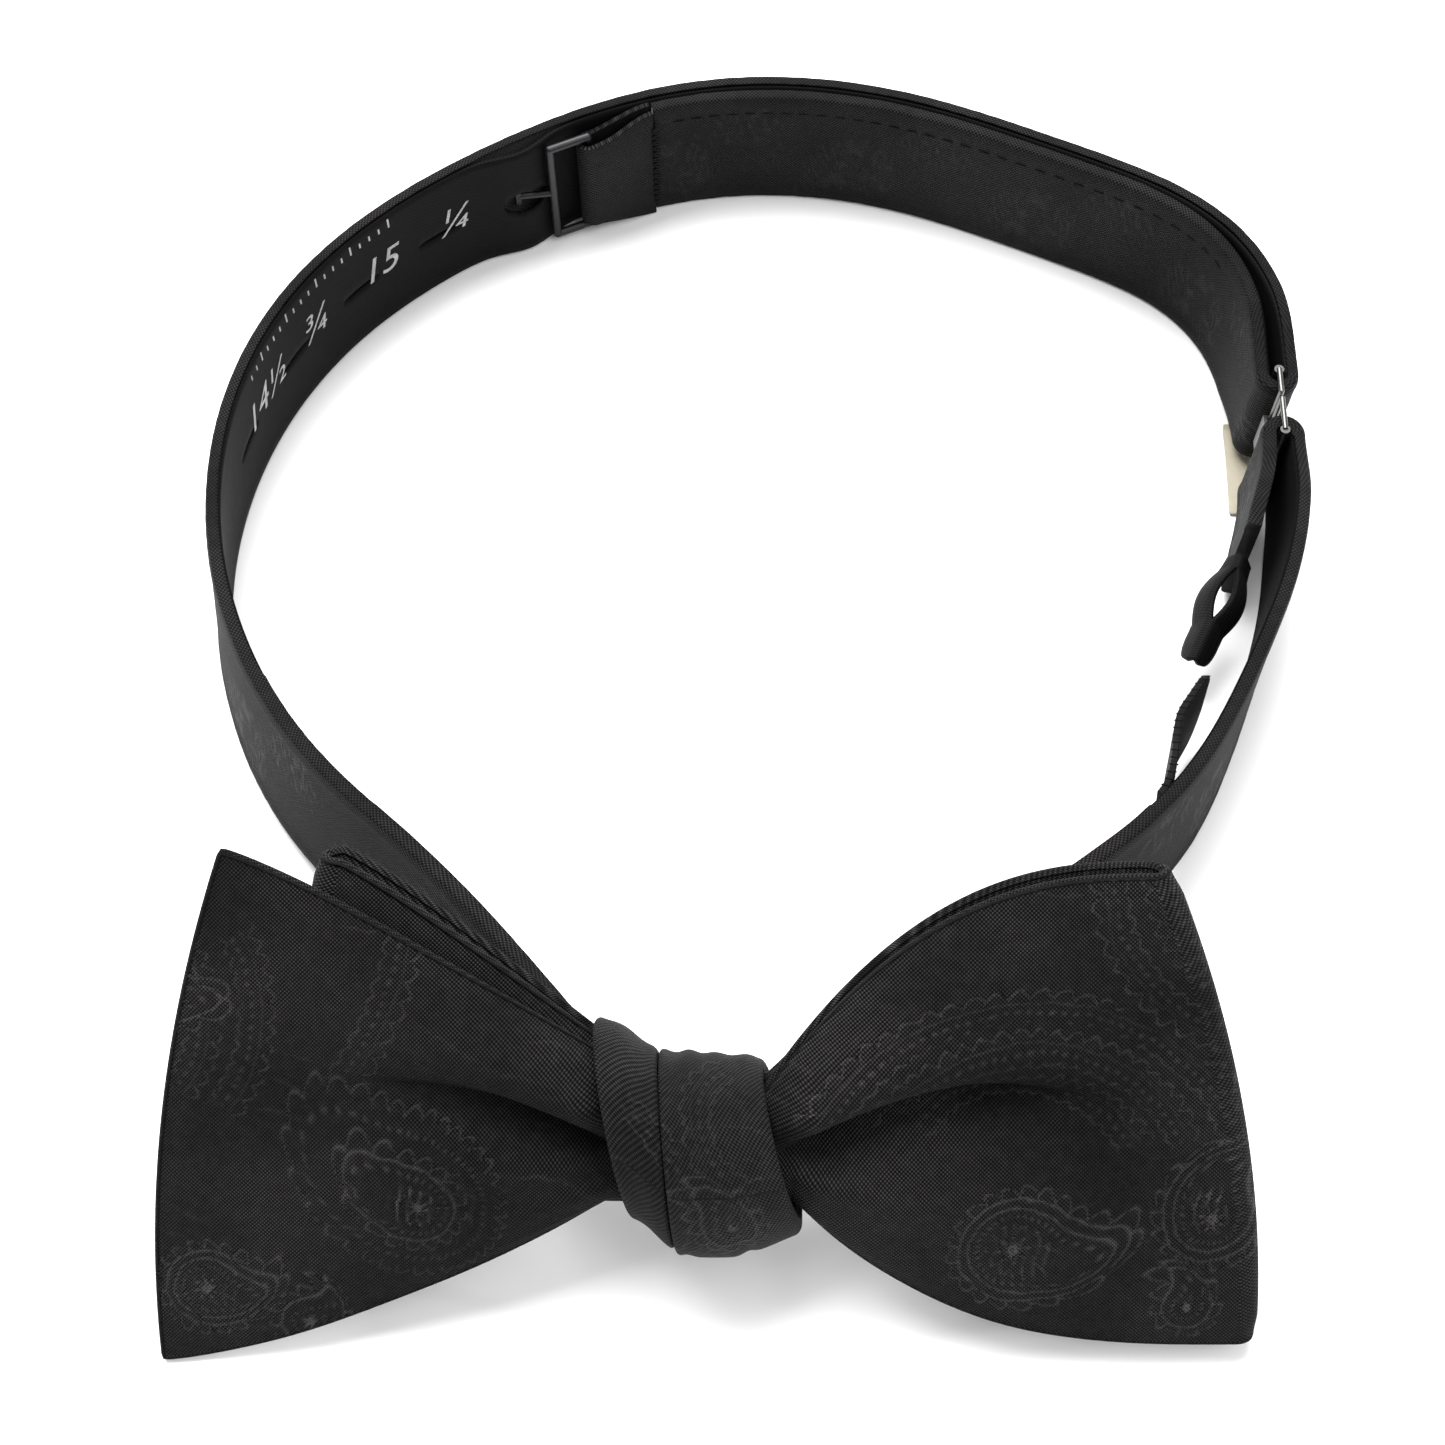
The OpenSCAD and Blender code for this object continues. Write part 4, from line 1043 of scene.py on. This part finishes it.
def stitches(name, spots, along_dirs, ups, length, radius, mat):
    """A row of short plump thread stitches."""
    pts, faces = [], []
    prof = [(-0.5, 0.25), (-0.38, 0.8), (0, 1.0), (0.38, 0.8), (0.5, 0.25)]
    for p, t, n in zip(spots, along_dirs, ups):
        side = np.cross(t, n)
        base = len(pts)
        for x, r in prof:
            for k in range(6):
                q = k * math.pi / 3
                pts.append(p + t * x * length + radius * r * (math.cos(q) * side + math.sin(q) * n))
        for i in range(4):
            for k in range(6):
                a, b = base + i * 6 + k, base + i * 6 + (k + 1) % 6
                faces.append([a, b, b + 6, a + 6])
        faces.append([base + k for k in range(5, -1, -1)])
        faces.append([base + 24 + k for k in range(6)])
    uv = np.array(pts)[:, :2]
    return make(name, np.array(pts), faces, mat, uv)


a_bt = hook_a - loop_seam_deg
c, up, out = band_frames(a_bt)
t3 = along3(a_bt)
ref = return_ref(a_bt) - band_t - 0.75
zs = np.arange(-7.2, 7.3, 0.55)
spots = [c + z * up + (ref - 0.08) * out for z in zs]
dirs = [unit(t3 + 0.35 * (1 if i % 2 else -1) * up) for i in range(len(zs))]
bartack = stitches("bartack_thread", spots, dirs, [-out] * len(zs), 1.1, 0.2, thread)
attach(bartack, "left_strap")
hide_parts("hook_loop_bartack")

# edge stitching on the return run
a_st = np.arange(30, 101, 2.6 / 1.12)
c, up, out = band_frames(a_st)
t = np.array([along3(a) for a in a_st])
n = return_ref(a_st) - band_t
edge_stitch = stitches("return_stitch", c + 7.0 * up + (n - 0.03)[:, None] * out, t, -out, 1.5, 0.13, thread)
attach(edge_stitch, "left_strap")

# ---- tail and keeper ----
tail_gap, tail_turn, tail_top, tail_drop, tail_slit, tail_ridge = 0.85, 14.0, 13.0, 3.5, 1.8, 0.35
tc0, _, to0 = band_frames(tab_end_a)
tail_from = tc0 + (tab_ref(tab_end_a) - band_t / 2) * to0
t_end = along3(tab_end_a)
tail_head = math.atan2(-t_end[1], -t_end[0]) - math.radians(tail_turn)


def tail_mesh():
    s = np.linspace(0, 1, 60)
    opened = tail_slit / 2 * np.sin(math.pi * np.clip((s - 0.12) / 0.5, 0, 1))
    w = tail_flank * mix(0.7, 1.0, ease(s * 5)) * np.sqrt(1 - 0.94 * np.clip((s - 0.72) / 0.28, 0, 1) ** 2.4)
    share = np.linspace(0, 1, 8)
    right = np.stack([opened + x * (0.42 * w + tail_ridge) for x in share], 1)
    down = np.stack([0.9 * w * x ** 1.5 for x in share], 1)
    across = np.concatenate([-right[:, ::-1], right], 1)
    fall = np.concatenate([down[:, ::-1], down], 1)
    ahead = (tail_gap + s * tail_len)[:, None]
    x = tail_from[0] + ahead * math.cos(tail_head) - across * math.sin(tail_head)
    y = tail_from[1] + ahead * math.sin(tail_head) + across * math.cos(tail_head)
    z = tail_top - tail_drop * s[:, None] - fall - 0.5
    uv = np.stack(np.broadcast_arrays(ahead, across), -1)
    ob = zipped("tape_tail_cloth", np.stack([x, y, z], -1), uv, len(share) - 1, opened < 1e-6, satin)
    return solidify(ob, 0.6)


tail = tail_mesh()
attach(tail, "tail_body")
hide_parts("tape_tail")

label_len, label_t = 10.0, 0.35
root_a = left_fold_a + 2.6
s_l = np.linspace(0, 1, 40)[:, None]
a_l = root_a - s_l * (label_len + 3.2) / mm_per_deg(12)
n_l = np.linspace(-0.9, -4.6, 18)[None, :]
rise = strap_w / 2 - float(left_half(root_a)) - 0.05
z_l = mix(rise, label_t + 0.1, np.clip(s_l * 1.25, 0, 1) ** 0.35) - label_t / 2 + 0 * n_l
flat_l = loop_c + loop_xy(a_l) + n_l[..., None] * loop_out(a_l)
curl = 0.12 * noise(41, 8 * s_l, n_l, 9)
label_mid = np.concatenate([flat_l, (z_l + 0.15 * (curl + 0.12) * ease(s_l * 2))[..., None]], -1)
label = pillow("care_label_cloth", label_mid, 0.3, cream, np.stack(np.broadcast_arrays(13 * s_l, n_l), -1))
fix_normals(label)
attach(label, "left_strap")
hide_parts("care_label")

keeper_root_a, keeper_t, keeper_gap = -42.0, 0.8, 3.6
s_k = np.linspace(0, 1, 60)
a_k = keeper_root_a + s_k * keeper_len / mm_per_deg(-30)
kc, ku, ko = band_frames(a_k)
keeper_lift = np.sin(np.radians(90 * np.minimum(1, s_k * 1.5))) ** 2 * (1 - 0.2 * ease(s_k * 2 - 1))
kn = tape_in - 0.45 - keeper_gap * keeper_lift
round_end = np.sqrt(np.clip(1 - np.clip((s_k - 0.8) / 0.2, 0, 1) ** 2 * 0.8, 0, 1))
keeper = strip("keeper_cloth", kc + (kn - keeper_t / 2)[:, None] * ko, ku, ko, keeper_h / 2 * round_end, 1.0,
               -keeper_t / 2, keeper_t / 2, strap_cloth)
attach(keeper, "keeper_body")
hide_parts("tail_keeper")
k_t = np.gradient(kc + kn[:, None] * ko, axis=0)
idx = np.arange(4, 58, 3)
spots = [kc[i] + keeper_h / 2 * round_end[i] * ku[i] + (kn[i] - keeper_t / 2) * ko[i] for i in idx]
whip = stitches("keeper_whip", spots, [unit(ko[i] + 0.5 * unit(k_t[i])) for i in idx], [ku[i] for i in idx], 1.1,
                0.16, thread)
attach(whip, "keeper_body")

# ---- floor, light, camera ----
low = cad_box[0]
me = bpy.data.meshes.new("floor")
me.from_pydata([(-3, -3, 0), (3, -3, 0), (3, 3, 0), (-3, 3, 0)], [], [(0, 1, 2, 3)])
floor = link(bpy.data.objects.new("floor", me))
floor.location.z = low[2] - 0.0001
paper, nt, p = new_mat("paper_sweep")
tone = ramp(nt, noise_tex(nt, 3.0, 2.0), [(0.3, (0.86, 0.86, 0.86)), (0.7, (0.88, 0.88, 0.88))])
nt.links.new(tone, p.inputs["Base Color"])
p.inputs["Roughness"].default_value = 0.9
p.inputs["Specular IOR Level"].default_value = 0.1
floor.data.materials.append(paper)

world = bpy.data.worlds.new("studio")
bpy.context.scene.world = world
world.use_nodes = True
glow = world.node_tree.nodes["Background"].inputs
glow[0].default_value = (1, 1, 1, 1)
glow[1].default_value = 0.5


def area(name, at, target, size, power):
    li = bpy.data.lights.new(name, "AREA")
    li.energy = power
    li.size = size
    ob = link(bpy.data.objects.new(name, li))
    ob.location = at
    ob.rotation_euler = (Vector(target) - Vector(at)).to_track_quat("-Z", "Y").to_euler()


area("key", (-0.16, 0.36, 0.78), (0, 0, 0), 0.62, 21.0)
area("fill", (0.45, -0.25, 0.75), (0, 0, 0), 0.7, 5.0)

camera_height, camera_ahead, camera_down = 0.25, 66.6, 64
cam_data = bpy.data.cameras.new("camera")
cam_data.lens = 56.4
cam_data.sensor_width = 36.0
camera = link(bpy.data.objects.new("camera", cam_data))
camera.location = ((knot_c[0] + 2.5) * MM, (knot_c[1] - camera_ahead) * MM, camera_height)
camera.rotation_euler = (math.radians(90 - camera_down), 0, 0)
bpy.context.scene.camera = camera
bpy.context.scene.view_settings.view_transform = "Standard"
